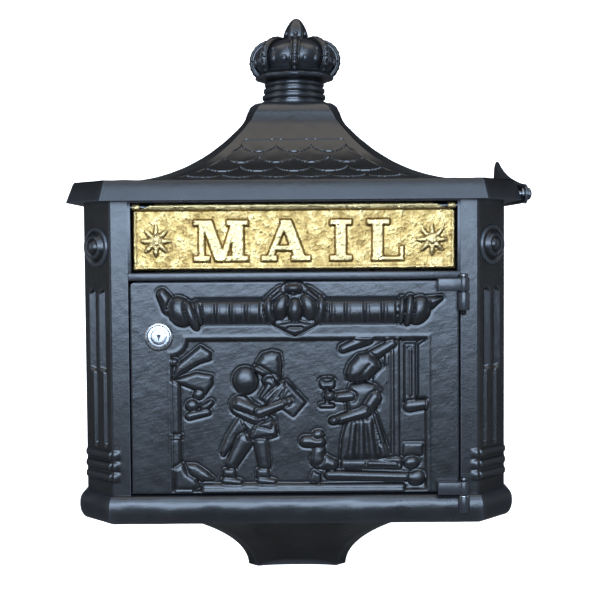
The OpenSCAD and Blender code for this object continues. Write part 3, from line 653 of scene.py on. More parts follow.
def flutes(across, z):
    """Depth of the corner face: across runs to the front over the cut face, 0 in its middle."""
    depth = np.zeros(np.broadcast(across, z).shape)
    for place in (-6.4, 6.4):
        aside = across - place
        wide = 3.3 * np.clip(np.minimum((aside + 4.8) / 4.0, (4.8 - aside) / 5.4), 0, 1)
        narrow = 1.9 * np.clip(np.minimum(aside / 2.1, (4.8 - aside) / 2.6), 0, 1)
        ends = smoothstep(FLUTE_TOP - z - aside ** 2 / 9, 0, 2) * smoothstep(z, FLUTE_FOOT, FLUTE_FOOT + 3)
        reeded = smoothstep(z + aside * 0.5, REED_TOP + 1, REED_TOP - 1)
        depth += (wide * (1 - reeded) + narrow * reeded) * ends
    return depth


def foot_rings(z):
    """Three half round rings near the foot."""
    height = np.zeros(np.shape(z))
    for place in (-81.5, -90.0, -98.5):
        height = np.maximum(height, 2.4 * np.sqrt(np.clip(1 - ((z - place) / 3.3) ** 2, 0, 1)))
    return height


# %% Boards, knuckles and bosses
def rounded_box(x0, x1, y0, y1, radius, steps=5):
    """A rectangle with round corners, counter clockwise."""
    corners = ((x1 - radius, y1 - radius, 0), (x0 + radius, y1 - radius, 90),
               (x0 + radius, y0 + radius, 180), (x1 - radius, y0 + radius, 270))
    points = []
    for x, y, start in corners:
        turn = np.radians(start + np.linspace(0, 90, steps))
        points.append(np.column_stack([x + radius * np.cos(turn), y + radius * np.sin(turn)]))
    return np.vstack(points)


def add_board(shell, xs, ys, zs, radius):
    """A bar with softened edges between two corners, in millimetres."""
    rings = []
    for angle in np.radians(np.linspace(0, 90, 4)):
        tuck, rise = radius * (1 - math.sin(angle)), radius * (1 - math.cos(angle))
        rings.append((tuck, zs[0] + rise))
    rings += [(tuck, zs[0] + zs[1] - z) for tuck, z in rings[::-1]]
    levels = []
    for tuck, z in rings:
        flat = rounded_box(xs[0] + tuck, xs[1] - tuck, ys[0] + tuck, ys[1] - tuck, radius * 0.98)
        levels.append(np.column_stack([flat, np.full(len(flat), z)]))
    shell.add_rings(np.array(levels) * MM)


def add_knuckle(shell, x, y, z0, z1, radius=4.4, web=None):
    """A round hinge knuckle with softened rims."""
    rims = [(radius - 1.0, z0), (radius - 0.3, z0 + 0.3), (radius, z0 + 1.0),
            (radius, z1 - 1.0), (radius - 0.3, z1 - 0.3), (radius - 1.0, z1)]
    shell.add_lathe([(r * MM, z * MM) for r, z in rims], (x * MM, y * MM, 0), steps=40)


BOSS = [(15.2, -1.0), (15.2, 1.2), (14.4, 2.2), (12.8, 2.4), (11.6, 1.7), (10.8, 1.2), (9.8, 1.8),
        (9.1, 3.4), (7.8, 4.7), (6.4, 4.5), (5.5, 3.7), (4.7, 4.2), (4.0, 5.4), (2.4, 6.4), (0.2, 6.7)]


def add_boss(shell, side):
    """The turned boss near the top of one cut corner."""
    centre = np.array([side * (BODY_HALF - CUT / 2), CUT / 2 - BODY_DEPTH, 78.4])
    turned = Shell()
    turned.add_lathe([(r, h) for r, h in BOSS], axis="front")
    angle = side * math.pi / 4
    spin = np.array([[math.cos(angle), -math.sin(angle), 0], [math.sin(angle), math.cos(angle), 0],
                     [0, 0, 1]])
    shell.add((turned.points[0] @ spin.T + centre) * MM, turned.faces)


# %% Posts
def post_ring(z):
    """Outline of the right post at one height, outer face first."""
    front = np.column_stack([np.linspace(STILE_IN, FRONT_HALF - 0.8, 26), np.full(26, -BODY_DEPTH)])
    share = np.linspace(0.02, 0.98, 90)
    face = np.column_stack([FRONT_HALF + CUT * share, CUT * share - BODY_DEPTH])
    front[:, 1] -= foot_rings(z) * 0.6 * smoothstep(front[:, 0], FRONT_HALF - 7, FRONT_HALF - 1)
    push = foot_rings(z) - flutes((0.5 - share) * CUT_FACE, z)
    push *= smoothstep(share, 0.0, 0.05) * smoothstep(1 - share, 0.0, 0.05) * 0.9 + 0.1
    face += np.column_stack([push, -push]) / math.sqrt(2)
    side = np.array([[BODY_HALF, CUT - BODY_DEPTH + 0.2], [BODY_HALF - WALL, CUT - BODY_DEPTH + 0.2],
                     [BODY_HALF - WALL, CUT - BODY_DEPTH + 16],
                     [BODY_HALF - 2 * WALL, CUT - BODY_DEPTH + 16],
                     [BODY_HALF - 2 * WALL, CUT - BODY_DEPTH - 3],
                     [FRONT_HALF - 2, WALL - BODY_DEPTH], [STILE_IN, WALL - BODY_DEPTH]])
    outline = np.vstack([front, face, side])
    return np.column_stack([outline, np.full(len(outline), z)])


def mirrored(points):
    return points * np.array([-1, 1, 1])


def build_front():
    casting = Shell()
    levels = np.concatenate([[POST_Z0], np.arange(POST_Z0 + 0.4, POST_Z1 - 8, 0.8), [POST_Z1]])
    post = np.array([post_ring(z) for z in levels])
    casting.add_rings(post * MM)
    casting.add_rings(mirrored(post)[::-1] * MM)
    slot_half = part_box("mail_flap")[1][0] / MM + 1
    flap_z0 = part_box("mail_flap")[0][2] / MM - 1.4
    sill_z = flap_z0 - 6
    for side in (-1, 1):
        add_board(casting, sorted((side * slot_half, side * (STILE_IN + 0.5))),
                  (-BODY_DEPTH, -BODY_DEPTH + WALL), (sill_z + 1, POST_Z1), 0.5)
    add_board(casting, (-STILE_IN - 0.5, STILE_IN + 0.5), (-BODY_DEPTH - 0.4, -BODY_DEPTH + WALL),
              (sill_z, flap_z0), 1.2)
    add_board(casting, (-slot_half - 1, slot_half + 1), (-BODY_DEPTH, -BODY_DEPTH + WALL),
              (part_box("mail_flap")[1][2] / MM + 0.5, POST_Z1), 0.5)
    for side in (-1, 1):
        add_boss(casting, side)
    knuckle = middle("upper_hinge_pin") / MM
    barrel_z1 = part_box("upper_hinge_pin")[1][2] / MM - 14.1
    add_knuckle(casting, knuckle.x, knuckle.y, barrel_z1 - 14, barrel_z1)
    add_board(casting, (knuckle.x + 0.2, knuckle.x + 4.2), (knuckle.y, 0.5 - BODY_DEPTH),
              (barrel_z1 - 13.5, barrel_z1 - 0.5), 0.6)
    lock_z = middle("lock_plug").z / MM
    add_board(casting, (-STILE_IN - 10, -STILE_IN), (WALL - 0.5 - BODY_DEPTH, WALL + 3.4 - BODY_DEPTH),
              (lock_z - 12, lock_z + 12), 0.5)
    return casting.build("front_casting", "housing", paint, ["front_frame"], 38)


build_front()

# %% [markdown]
# ## Base and corbel
# The base is a shallow tray turned upside down: its floor closes the box, its moulded edge is a
# thick round nosing. Under it hangs a hollow corbel whose sides sweep in like the roof turned
# over, with an arch cut in its lower edge. Both are lofts: the nosing is a short profile, the
# corbel follows a power curve.

# %% Base
def plan_ring(grow, z, back=0.0):
    """Outline of the body in plan, grown by a distance, with softened corners."""
    shift = grow * math.tan(math.pi / 8)
    half, depth = BODY_HALF + grow, BODY_DEPTH + grow
    corner_x, corner_y = FRONT_HALF + shift, BODY_DEPTH - CUT + shift
    stops = np.array([[-half, -back], [-half, -corner_y], [-corner_x, -depth], [corner_x, -depth],
                      [half, -corner_y], [half, -back], [-half, -back]])
    counts = (40, 12, 120, 12, 40, 20)
    flat = np.vstack([stops[i] + (stops[i + 1] - stops[i]) * np.arange(n)[:, None] / n
                      for i, n in enumerate(counts)])
    return np.column_stack([flat, np.full(len(flat), z)])


def build_base():
    low, high = (np.array(corner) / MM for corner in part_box("base_casting"))
    z0, z1, out = low[2], high[2], high[0] - BODY_HALF
    nosing = [(-1.5, z0), (0.8, z0 + 0.2), (2.6, z0 + 1.4), (4.2, z0 + 3.6), (5.4, z0 + 6.6),
              (out, z0 + 10), (out, z0 + 13), (out - 0.3, z0 + 16), (out - 1.2, z0 + 18.6),
              (out - 2.4, z0 + 20.4), (out - 3.2, z0 + 21.4), (2.0, z1 - 0.1), (-6.0, z1)]
    hollow = [(-5.0, z1 - 5, 4), (-5.0, z0 + 1.0, 4), (-4.2, z0, 0)]
    rings = [plan_ring(grow, z, back) for grow, z, back in hollow]
    rings += [plan_ring(grow, z) for grow, z in nosing]
    rings = np.array(rings)
    wave = 0.25 * ripple(rings[..., 0], rings[..., 2] * 2 + rings[..., 1], 30, 5)
    rings[3:-1, :, 1] += wave[3:-1] * (rings[3:-1, :, 1] < -20)
    tray = Shell()
    tray.add_rings(rings * MM)
    pin = middle("lower_hinge_pin") / MM
    add_knuckle(tray, pin.x, pin.y, z1 - 13, z1 - 0.2, 4.6)
    tray.build("base_tray", "housing", paint, ["base_casting"], 34)
    seat = Shell()
    add_knuckle(seat, pin.x, pin.y, z1 - 3.6, z1 + 0.15, 4.2)
    seat.build("filed_pin_seat", "housing", bare)


build_base()


# %% Corbel
def build_corbel():
    low, high = (np.array(corner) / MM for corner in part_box("corbel"))
    foot_z, head_z, head_half = low[2], high[2], high[0]
    foot_half, foot_depth, height = 43.0, 42.0, 69.0
    head_depth = -low[1]

    def ring(share, inset, z=None):
        swell = share ** 1.9
        half = foot_half + (head_half - foot_half) * swell - inset
        depth = foot_depth + (head_depth - foot_depth) * swell - inset
        z = foot_z + height * share if z is None else z
        cut = 7 + 17 * swell
        back = 4 if inset else 0
        stops = np.array([[-half, -back], [-half, cut - depth], [cut - half, -depth],
                          [half - cut, -depth], [half, cut - depth], [half, -back], [-half, -back]])
        counts = (24, 12, 72, 12, 24, 24)
        flat = np.vstack([stops[i] + (stops[i + 1] - stops[i]) * np.arange(n)[:, None] / n
                          for i, n in enumerate(counts)])
        arch = 5.5 * np.clip(1 - (flat[:, 0] / 33) ** 2, 0, 1) ** 0.7 * (1 - share) ** 6
        lip = 0.0 if inset else 1.0
        return np.column_stack([flat, z + arch * (flat[:, 1] < -6) * (0.2 + 0.8 * lip + 0.0)])

    shares = np.linspace(0, 1, 40)
    inner = [ring(share, 4) for share in shares[::-1]]
    outer = [ring(0, 1.2), ring(0, 0.0, foot_z + 0.8)] + [ring(share, 0) for share in shares[1:]]
    rings = np.array([ring(1, 4, head_z - 4)] + inner + outer + [ring(1, 0, head_z)])
    bracket = Shell()
    bracket.add_rings(rings * MM)
    return bracket.build("hollow_corbel", "housing", paint, ["corbel"], 34)


build_corbel()

# %% [markdown]
# ## Door: a carved relief
# The door is one plate whose front is modelled like wax: a sunk panel with a street scene, and a
# turned baton across the top. Sculpting by hand can't be written down, so the relief is a height
# field. Each form is a distance to a simple outline (a tapered bar, an ellipse, a polygon); the
# height rises from that outline like a quarter of a circle, and a fine groove is cut around it,
# as a carver does, so that forms in front read clearly against those behind.

# %% Distances to simple outlines, negative inside
def bar(x, z, start, end, r0, r1=None):
    """A bar with round ends, from radius r0 to r1."""
    r1 = r0 if r1 is None else r1
    run = np.subtract(end, start)
    t = np.clip(((x - start[0]) * run[0] + (z - start[1]) * run[1]) / (run @ run + 1e-9), 0, 1)
    return np.hypot(x - start[0] - t * run[0], z - start[1] - t * run[1]) - (r0 + (r1 - r0) * t)


def oval(x, z, middle_point, rx, rz, turn=0.0):
    a, b = x - middle_point[0], z - middle_point[1]
    c, s = math.cos(math.radians(turn)), math.sin(math.radians(turn))
    u, v = a * c + b * s, b * c - a * s
    size = np.hypot(u / rx, v / rz)
    outside = size / np.maximum(np.hypot(u / rx ** 2, v / rz ** 2), 1e-9)
    return (size - 1) * np.where(size > 1, outside, min(rx, rz))


def outline(x, z, corners, soften=0.8):
    """A polygon with corners rounded by soften."""
    corners = np.asarray(corners, float)
    nearest = np.full(x.shape, 1e9)
    inside = np.zeros(x.shape, bool)
    for a, b in zip(corners, np.roll(corners, -1, 0)):
        run = b - a
        t = np.clip(((x - a[0]) * run[0] + (z - a[1]) * run[1]) / (run @ run), 0, 1)
        nearest = np.minimum(nearest, np.hypot(x - a[0] - t * run[0], z - a[1] - t * run[1]))
        if a[1] != b[1]:
            crosses = (a[1] > z) != (b[1] > z)
            inside ^= crosses & (x < a[0] + (z - a[1]) * run[0] / run[1])
    return np.where(inside, -nearest, nearest) - soften


class Relief:
    """A height field that forms are laid on, one in front of another."""

    def __init__(self, x, z, ground):
        self.x, self.z, self.height = x, z, ground.copy()

    def lay(self, distance, top, edge, groove=0.7, level=0.0):
        """Lay a form: top is its height over level, edge the width of its rounded rim."""
        self.height -= groove * np.exp(-((distance - 0.4) / 0.9) ** 2)
        rise = np.clip(-distance / edge, 0, 1)
        form = level + top * np.sqrt(1 - (1 - rise) ** 2)
        self.height = np.where(distance < 0, np.maximum(form, self.height * 0.25 + form * 0.75),
                               self.height)

    def bar(self, start, end, r0, r1=None, top=2.4, level=0.0, groove=0.55):
        self.lay(bar(self.x, self.z, start, end, r0, r1), top, max(r0, r1 or r0), groove, level)

    def oval(self, place, rx, rz, turn=0, top=3.0, level=0.0, groove=0.55):
        self.lay(oval(self.x, self.z, place, rx, rz, turn), top, min(rx, rz), groove, level)

    def form(self, corners, top=2.2, edge=3.0, level=0.0, groove=0.55):
        self.lay(outline(self.x, self.z, corners), top, edge, groove, level)

    def cut(self, start, end, width, depth):
        distance = bar(self.x, self.z, start, end, 0)
        self.height -= depth * np.exp(-(distance / width) ** 2)


def blur(field, sigma):
    """Soften a height field, as paint and sand do; sigma in grid steps."""
    reach = int(3 * sigma) + 1
    weight = np.exp(-0.5 * (np.arange(-reach, reach + 1) / sigma) ** 2)
    weight /= weight.sum()
    for axis in (0, 1):
        padded = np.pad(field, [(reach, reach) if a == axis else (0, 0) for a in (0, 1)], "edge")
        field = sum(w * np.take(padded, np.arange(field.shape[axis]) + i, axis)
                    for i, w in enumerate(weight))
    return field


# %% The street scene, in millimetres from the panel's lower left corner
def tree_and_sign(relief):
    relief.bar((4.2, 84), (4.2, 20), 3.6, 3.8, top=2.6)
    relief.bar((1.0, 44), (8.0, 44), 0.9, top=3.0, groove=0.3)
    relief.bar((1.0, 41.8), (8.0, 41.8), 0.7, top=2.9, groove=0.3)
    relief.oval((3.4, 100), 3.2, 3.0, top=2.6)
    relief.form([(3, 88.5), (22, 99.5), (30.5, 102), (31, 107), (23.5, 112), (5.5, 97.5)], 2.8, 3.5)
    relief.form([(3, 86), (20, 91.5), (32, 89.5), (31.6, 83), (26.5, 76), (16.5, 80.5)], 2.8, 3.2)
    relief.oval((21.5, 75), 4.4, 3.8, top=2.2)
    relief.oval((16.5, 66.5), 5.0, 4.6, top=2.6)
    relief.bar((26, 65), (31, 69), 3.2, 2.2, top=2.6)
    relief.bar((14.5, 58.5), (28.5, 61.5), 3.2, 2.6, top=2.4)
    relief.form([(1.5, 18), (8, 22), (12, 15), (19, 10), (21, 4.5), (16, 1), (3, 1)], 3.0, 5.0)
    relief.form([(12, 21), (19, 20.5), (27, 15), (32.5, 10), (22, 9.5), (14, 14)], 2.8, 3.4)


def hatted_reader(relief):
    relief.form([(66.6, 99), (71, 105.6), (77.7, 107.5), (83.6, 106), (85, 97.9), (84, 84),
                 (77, 86), (70, 90)], 3.6, 7.5, groove=0.8)
    relief.bar((66.2, 94.6), (81.6, 86.8), 2.7, 2.3, top=4.0, groove=0.8)
    relief.oval((74.5, 86.5), 4.8, 4.2, 40, top=2.6)
    relief.bar((76.5, 83), (78.5, 76), 4.6, 5.4, top=2.4)
    relief.bar((71, 73), (75, 80), 3.0, 2.6, top=2.4)
    relief.bar((74, 71), (86, 82), 3.2, 2.4, top=2.6)


def round_headed_reader(relief):
    relief.form([(54, 59), (58, 49), (49, 38.5), (40, 28), (38.5, 31), (44, 44)], 2.0, 3.0)
    relief.bar((56.5, 39), (46.5, 22), 6.6, 4.9, top=3.0)
    relief.bar((69, 39), (71.5, 21), 6.0, 5.0, top=3.0)
    for x in (44.6, 70.4):
        relief.form([(x - 4.2, 11), (x + 4.2, 11), (x + 3.8, 17), (x - 4.0, 17)], 2.6, 2.6)
    relief.bar((41.5, 8.4), (52.5, 7.2), 3.1, 2.3, top=2.6)
    relief.bar((68.5, 8.4), (78.5, 7.4), 3.0, 2.2, top=2.6)
    relief.form([(52.5, 61), (58, 49), (60, 41), (74, 41), (81, 43), (79.5, 56), (70, 60)], 3.0, 4.5)
    relief.form([(66, 52), (78, 55.5), (80.5, 44.5), (61.5, 42)], 3.5, 2.6, groove=0.8)
    relief.form([(66.5, 51.5), (77.5, 55), (77, 48.5), (72.5, 50.0)], 3.9, 2.0, groove=0.7)
    relief.bar((53.5, 66.5), (64, 58.5), 8.2, 7.4, top=3.8)
    book_pages(relief)
    relief.bar((52.5, 67.5), (68, 61.0), 5.0, 4.4, top=4.6)
    relief.bar((68, 61.0), (88.5, 68.5), 4.4, 3.2, top=4.6, groove=0.1)
    relief.oval((91, 69.5), 3.8, 3.2, 30, top=4.8, groove=0.25)
    relief.oval((57.5, 85.5), 9.8, 10.6, 12, top=4.6, groove=0.8)


def book_pages(relief):
    relief.form([(75, 67), (88.5, 84.5), (95, 77.5), (82, 63.5)], 3.2, 1.8)
    relief.form([(88.5, 84.5), (103, 69), (94, 58.5), (84, 66)], 3.7, 1.8, groove=0.8)
    for step in (0.0, 3.2, 6.4):
        relief.cut((82.0 + step * 0.7, 72.5 - step * 0.9), (88.5 + step * 0.7, 80.0 - step), 0.7, 0.4)


def little_dog(relief):
    relief.form([(106.5, 8.5), (109, 15), (114, 12.5), (113.5, 6.5)], 2.2, 2.2)
    relief.bar((113, 24), (123.5, 20.5), 6.4, 4.6, top=3.2)
    relief.bar((113.5, 34), (112.5, 25), 4.6, 5.4, top=3.0, groove=0.2)
    relief.bar((103, 38.4), (113.5, 38.0), 4.4, 4.9, top=3.4)
    relief.oval((112.8, 43.5), 4.8, 3.9, 10, top=2.8, groove=0.3)


def doorway(relief):
    relief.form([(164.8, 25), (174.5, 25), (174.5, 117), (164.8, 117)], 1.6, 1.2, groove=0.5)
    relief.bar((169.8, 26), (169.8, 116), 1.6, top=2.4, groove=0.3)
    relief.form([(154, 24), (166, 24), (165, 96), (156, 92)], 1.0, 2.4, groove=0.2)
    relief.bar((154.5, 104), (170, 113), 4.6, 3.6, top=2.8)
    relief.bar((132.5, 109.5), (151, 117), 3.4, 4.8, top=2.8, groove=0.8)
    relief.form([(179.5, 69), (187.5, 69), (187.5, 113), (179.5, 113)], 2.4, 2.6)
    relief.bar((183.5, 74), (183.5, 109), 1.5, top=3.0, groove=0.4)
    relief.form([(190, 72), (195, 72), (195, 115.5), (190, 112)], 1.9, 1.8)
    relief.bar((183, 65), (194, 66.5), 4.6, 4.2, top=3.0, groove=0.8)


def steps_and_stones(relief):
    relief.form([(131, 18), (176, 18), (176, 25), (131, 25)], 2.6, 2.4)
    relief.bar((152, 21.5), (173, 20.5), 2.6, 1.6, top=3.2, groove=0.3)
    relief.bar((121, 12.5), (183, 10.5), 3.6, 3.4, top=3.2)
    relief.oval((184.5, 21.5), 6.2, 4.4, 8, top=2.6)
    relief.oval((188.5, 9.5), 7.0, 5.6, 20, top=3.0)
    relief.form([(178.5, 28), (192, 28), (193, 36), (179, 36)], 1.2, 2.5, groove=0.3)
    relief.bar((26, 2.8), (177, 2.8), 3.4, 3.0, top=2.6)


def robed_figure(relief):
    skirt = [(136, 56), (155, 62), (160, 48), (168, 27), (158, 24.8), (130.5, 24.8), (132, 41)]
    relief.form(skirt, 3.4, 5.5, groove=0.8)
    inside = smoothstep(-outline(relief.x, relief.z, skirt), 0.3, 2.5)
    fan = (relief.x - 146) / (1.0 + (60 - relief.z) * 0.022)
    relief.height += inside * 0.62 * np.cos(fan * 1.25) * smoothstep(relief.z, 62, 44)
    relief.bar((156, 59), (162, 38), 1.5, 1.9, top=4.0, groove=0.6)
    relief.form([(138, 81.4), (147.6, 83.4), (156, 81.5), (160.6, 77), (158.1, 64), (147.6, 59),
                 (136, 58.4), (135, 70)], 4.2, 9.0, groove=0.8)
    relief.bar((138, 73), (127.5, 72.5), 4.4, 3.3, top=3.8)
    relief.form([(114.5, 85), (125.5, 85), (124.8, 80.5), (120.5, 77.5), (115.5, 80.5)], 3.2, 2.2)
    relief.oval((120, 85.6), 5.2, 2.0, top=3.6, groove=0.6)
    relief.bar((120, 78), (120, 68), 1.8, top=2.6)
    relief.bar((115.6, 66), (124, 66), 1.8, top=2.8)
    relief.oval((122, 73.6), 4.6, 3.6, 20, top=4.2)
    relief.bar((156.5, 72), (149, 60.5), 5.2, 5.4, top=4.8, groove=0.4)
    relief.bar((148, 60.5), (129.5, 55.5), 5.4, 3.8, top=4.8, groove=0.1)
    relief.oval((125, 54.6), 4.2, 3.4, 10, top=4.6, groove=0.25)
    relief.form([(137, 97), (144, 104.8), (152, 105.6), (159.4, 100.2), (161.4, 95.3),
                 (156.3, 90.4), (151.1, 86), (142.4, 84.4), (136, 86), (135, 91)], 4.8, 8.5,
                groove=0.9)
    relief.cut((146, 90), (152, 97), 1.4, 0.5)


# %% The baton, in millimetres from its middle on the door
def baton(relief, x0, z0):
    """Turned shafts with bands, belled ends with horn tips, and a knotted middle."""
    def at(x, z):
        return (x0 + x, z0 + z)

    for start, end in ((-73, -22), (22, 80)):
        relief.lay(bar(relief.x, relief.z, at(start, 0.2), at(end, 0.2), 9.0), 5.6, 8.6, 0.9)
    for place in (-71, -60, -48.5, -37, -26, 27, 38.5, 53, 66.5, 77):
        aside = np.abs(relief.x - x0 - place)
        over = np.clip(1 - ((relief.z - z0) / 8.4) ** 2, 0, 1) ** 0.5
        relief.height += over * (0.5 * np.exp(-((aside - 2.2) / 1.0) ** 2)
                                 - 1.5 * np.exp(-(aside / 0.9) ** 2))
    relief.bar(at(-101, 14), at(-95, 4), 4.4, 6.6, top=4.2)
    relief.oval(at(-87, 0.6), 9.6, 12.0, 28, top=6.0)
    relief.oval(at(-78.5, -2.4), 4.6, 12.2, 22, top=6.2)
    relief.oval(at(-73, -0.6), 3.2, 9.6, 12, top=5.6)
    relief.bar(at(100, 5), at(111, 9.5), 6.0, 1.8, top=4.0)
    relief.oval(at(94, 0.5), 9.0, 11.4, -30, top=5.8)
    relief.oval(at(86.5, 0.6), 4.4, 12.0, -8, top=6.2)
    relief.oval(at(81, 0.6), 2.9, 10.6, -4, top=5.8)
    plate = [(-21, 11), (-12, 18.5), (0, 21.5), (11.5, 18), (20, 12), (21, -7), (12, -11.5),
             (0, -18), (-12, -11.5), (-21, -7)]
    relief.form([at(x, z) for x, z in plate], 2.4, 3.0)
    relief.form([at(-14, -10), at(0, -7), at(14, -10), at(0, -17.5)], 4.2, 3.0)
    relief.cut(at(-5, -12), at(5, -12), 1.1, 1.5)
    for side in (-1, 1):
        relief.oval(at(side * 18.5, 1.5), 6.0, 10.4, side * -8, top=6.0)
        relief.oval(at(side * 10.5, 4.2), 7.2, 11.0, side * 14, top=6.4)
        relief.bar(at(side * 8, 16.5), at(side * 17, 9.5), 2.6, 1.8, top=5.0)
    relief.oval(at(0, 1.6), 6.4, 9.6, top=7.0)
    relief.oval(at(-1, 18), 10.4, 5.2, top=4.6)
    relief.oval(at(-1, 18), 7.6, 3.2, top=5.4, groove=0.9)


# %% Door plate
def build_door():
    low, high = (np.array(corner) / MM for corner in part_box("door"))
    pin = middle("upper_hinge_pin") / MM
    x0, z0 = low[0], low[2] + 0.8
    x1, z1, front_y = pin.x - 2.5, high[2] - 2, -165.0
    step = 0.56
    x = np.linspace(x0, x1, int((x1 - x0) / step))
    z = np.linspace(z0, z1, int((z1 - z0) / step))
    grid_x, grid_z = np.meshgrid(x, z)
    ground = np.zeros(grid_x.shape)
    panel_x, panel_z = x0 + 30, z0 + 1.3
    across, up = grid_x - panel_x, grid_z - panel_z
    notch = np.minimum(np.hypot(across - 0.5, up - 118) - 12.5, 99)
    panel = np.maximum.reduce([1.0 - across, across - 196, 0.5 - up, up - 117.5, -notch])
    sunk, border = 2.4, 0.3 * np.exp(-((panel - 1.6) / 1.3) ** 2)
    ground = ground + border - sunk * (1 - smoothstep(panel, -1.6, 0.4))

    scene = Relief(across, up, np.zeros(ground.shape))
    for group in (tree_and_sign, doorway, steps_and_stones, hatted_reader, round_headed_reader,
                  little_dog, robed_figure):
        group(scene)
    inside = 1 - smoothstep(panel, -0.6, 0.9)
    height = ground + scene.height * inside
    upper = Relief(grid_x, grid_z, height)
    baton(upper, 0.3, z0 + 139.5)
    height = np.where(up > 112, upper.height, height)
    height += 0.05 * ripple(grid_x, grid_z, 18, 8) + 0.022 * ripple(grid_x, grid_z, 4.5, 9)
    height = blur(height, 0.75)

    rim = np.minimum.reduce([grid_x - x0, x1 - grid_x, grid_z - z0, z1 - grid_z])
    height -= 1.1 * (1 - np.sqrt(np.clip(1 - (1 - np.clip(rim / 1.6, 0, 1)) ** 2, 0, 1)))
    corner = 4.5
    corner_x = np.maximum(np.maximum(x0 + corner - grid_x, grid_x - x1 + corner), 0)
    corner_z = np.maximum(grid_z - z1 + corner, 0)
    inside_corner = np.hypot(corner_x, corner_z) <= corner
    keep = inside_corner[:-1, :-1] & inside_corner[1:, 1:]
    keep &= inside_corner[:-1, 1:] & inside_corner[1:, :-1]
    door = Shell()
    back = np.full(height.shape, front_y + 5.0)
    door.add_plate(grid_x * MM, grid_z * MM, (front_y - height) * MM, back * MM, keep)
    for lug_z, part in ((pin.z, "upper_hinge_pin"), (0, "lower_hinge_pin")):
        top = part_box(part)[1][2] / MM - 3.2
        foot = top - 10.5
        add_knuckle(door, pin.x, pin.y, foot, top)
        add_board(door, (pin.x - 20, pin.x), (pin.y - 3.6, front_y - 0.45), (foot + 0.4, top - 0.4), 1.1)
        add_board(door, (pin.x - 19.6, pin.x - 2.8), (front_y - 2.5, front_y + 0.8),
                  (foot + 0.6, top - 2.6), 0.5)
    return door.build("carved_door", "door", paint, ["door"], 60)


build_door()

# %% [markdown]
# ## Brass letter flap
# The flap is a brass casting hung behind the front frame on a rod. Its ground is hammered, its
# long edges carry a thin raised rim, and its word stands up in slab-serif capitals. The capitals
# are drawn here as straight bars with slab feet, then raised with soft shoulders, because a
# pattern maker's letters always have draft to let them leave the sand.

# %% Slab-serif capitals in a box 0..width, 0..1 high
def serif(x, z, x0, x1, level):
    """A slab foot, at the bottom (level 0) or top (level 1)."""
    thick = 0.15
    z0, z1 = (0, thick) if level == 0 else (1 - thick, 1)
    return np.maximum(np.maximum(x0 - x, x - x1), np.maximum(z0 - z, z - z1))


def post(x, z, x0, x1):
    return np.maximum(np.maximum(x0 - x, x - x1), np.maximum(-z, z - 1))


def slant(x, z, start, end, half):
    level = np.maximum(-z, z - 1)
    run = np.subtract(end, start)
    run = run / np.hypot(*run)
    off = np.abs((x - start[0]) * run[1] - (z - start[1]) * run[0]) - half
    return np.maximum(off, level)


def capital_m(x, z):
    parts = [post(x, z, 0.09, 0.23), post(x, z, 0.79, 1.06),
             slant(x, z, (0.26, 1), (0.57, 0.0), 0.125), slant(x, z, (0.88, 1), (0.59, 0.0), 0.075)]
    parts += [serif(x, z, -0.02, 0.34, level) for level in (0, 1)]
    parts += [serif(x, z, 0.68, 1.16, level) for level in (0, 1)]
    return np.minimum.reduce(parts)


def capital_a(x, z):
    parts = [slant(x, z, (0.14, 0), (0.50, 1.0), 0.075), slant(x, z, (0.84, 0), (0.50, 1.0), 0.125),
             np.maximum(np.abs(z - 0.32) - 0.07, np.abs(x - 0.48) - 0.26),
             serif(x, z, -0.02, 0.33, 0), serif(x, z, 0.62, 1.04, 0)]
    return np.minimum.reduce(parts)


def capital_i(x, z):
    return np.minimum.reduce([post(x, z, 0.12, 0.36), serif(x, z, 0, 0.48, 0),
                              serif(x, z, 0, 0.48, 1)])


def capital_l(x, z):
    foot = np.maximum(np.maximum(0.1 - x, x - 0.80), np.maximum(-z, z - 0.11))
    tip = np.maximum(np.maximum(0.70 - x, x - 0.80), np.maximum(-z, z - 0.36))
    return np.minimum.reduce([post(x, z, 0.12, 0.36), serif(x, z, 0, 0.50, 1), foot, tip])


def rosette(x, z, radius):
    """Eight petals round a boss, as a height from 0 to 1."""
    away, turn = np.hypot(x, z) / radius, np.arctan2(z, x)
    petal = 0.72 + 0.28 * np.cos(8 * turn)
    leaf = np.sqrt(np.clip(1 - (away / petal) ** 2, 0, 1)) * smoothstep(away, 0.2, 0.45)
    return np.maximum(leaf, np.sqrt(np.clip(1 - (away / 0.34) ** 2, 0, 1)))


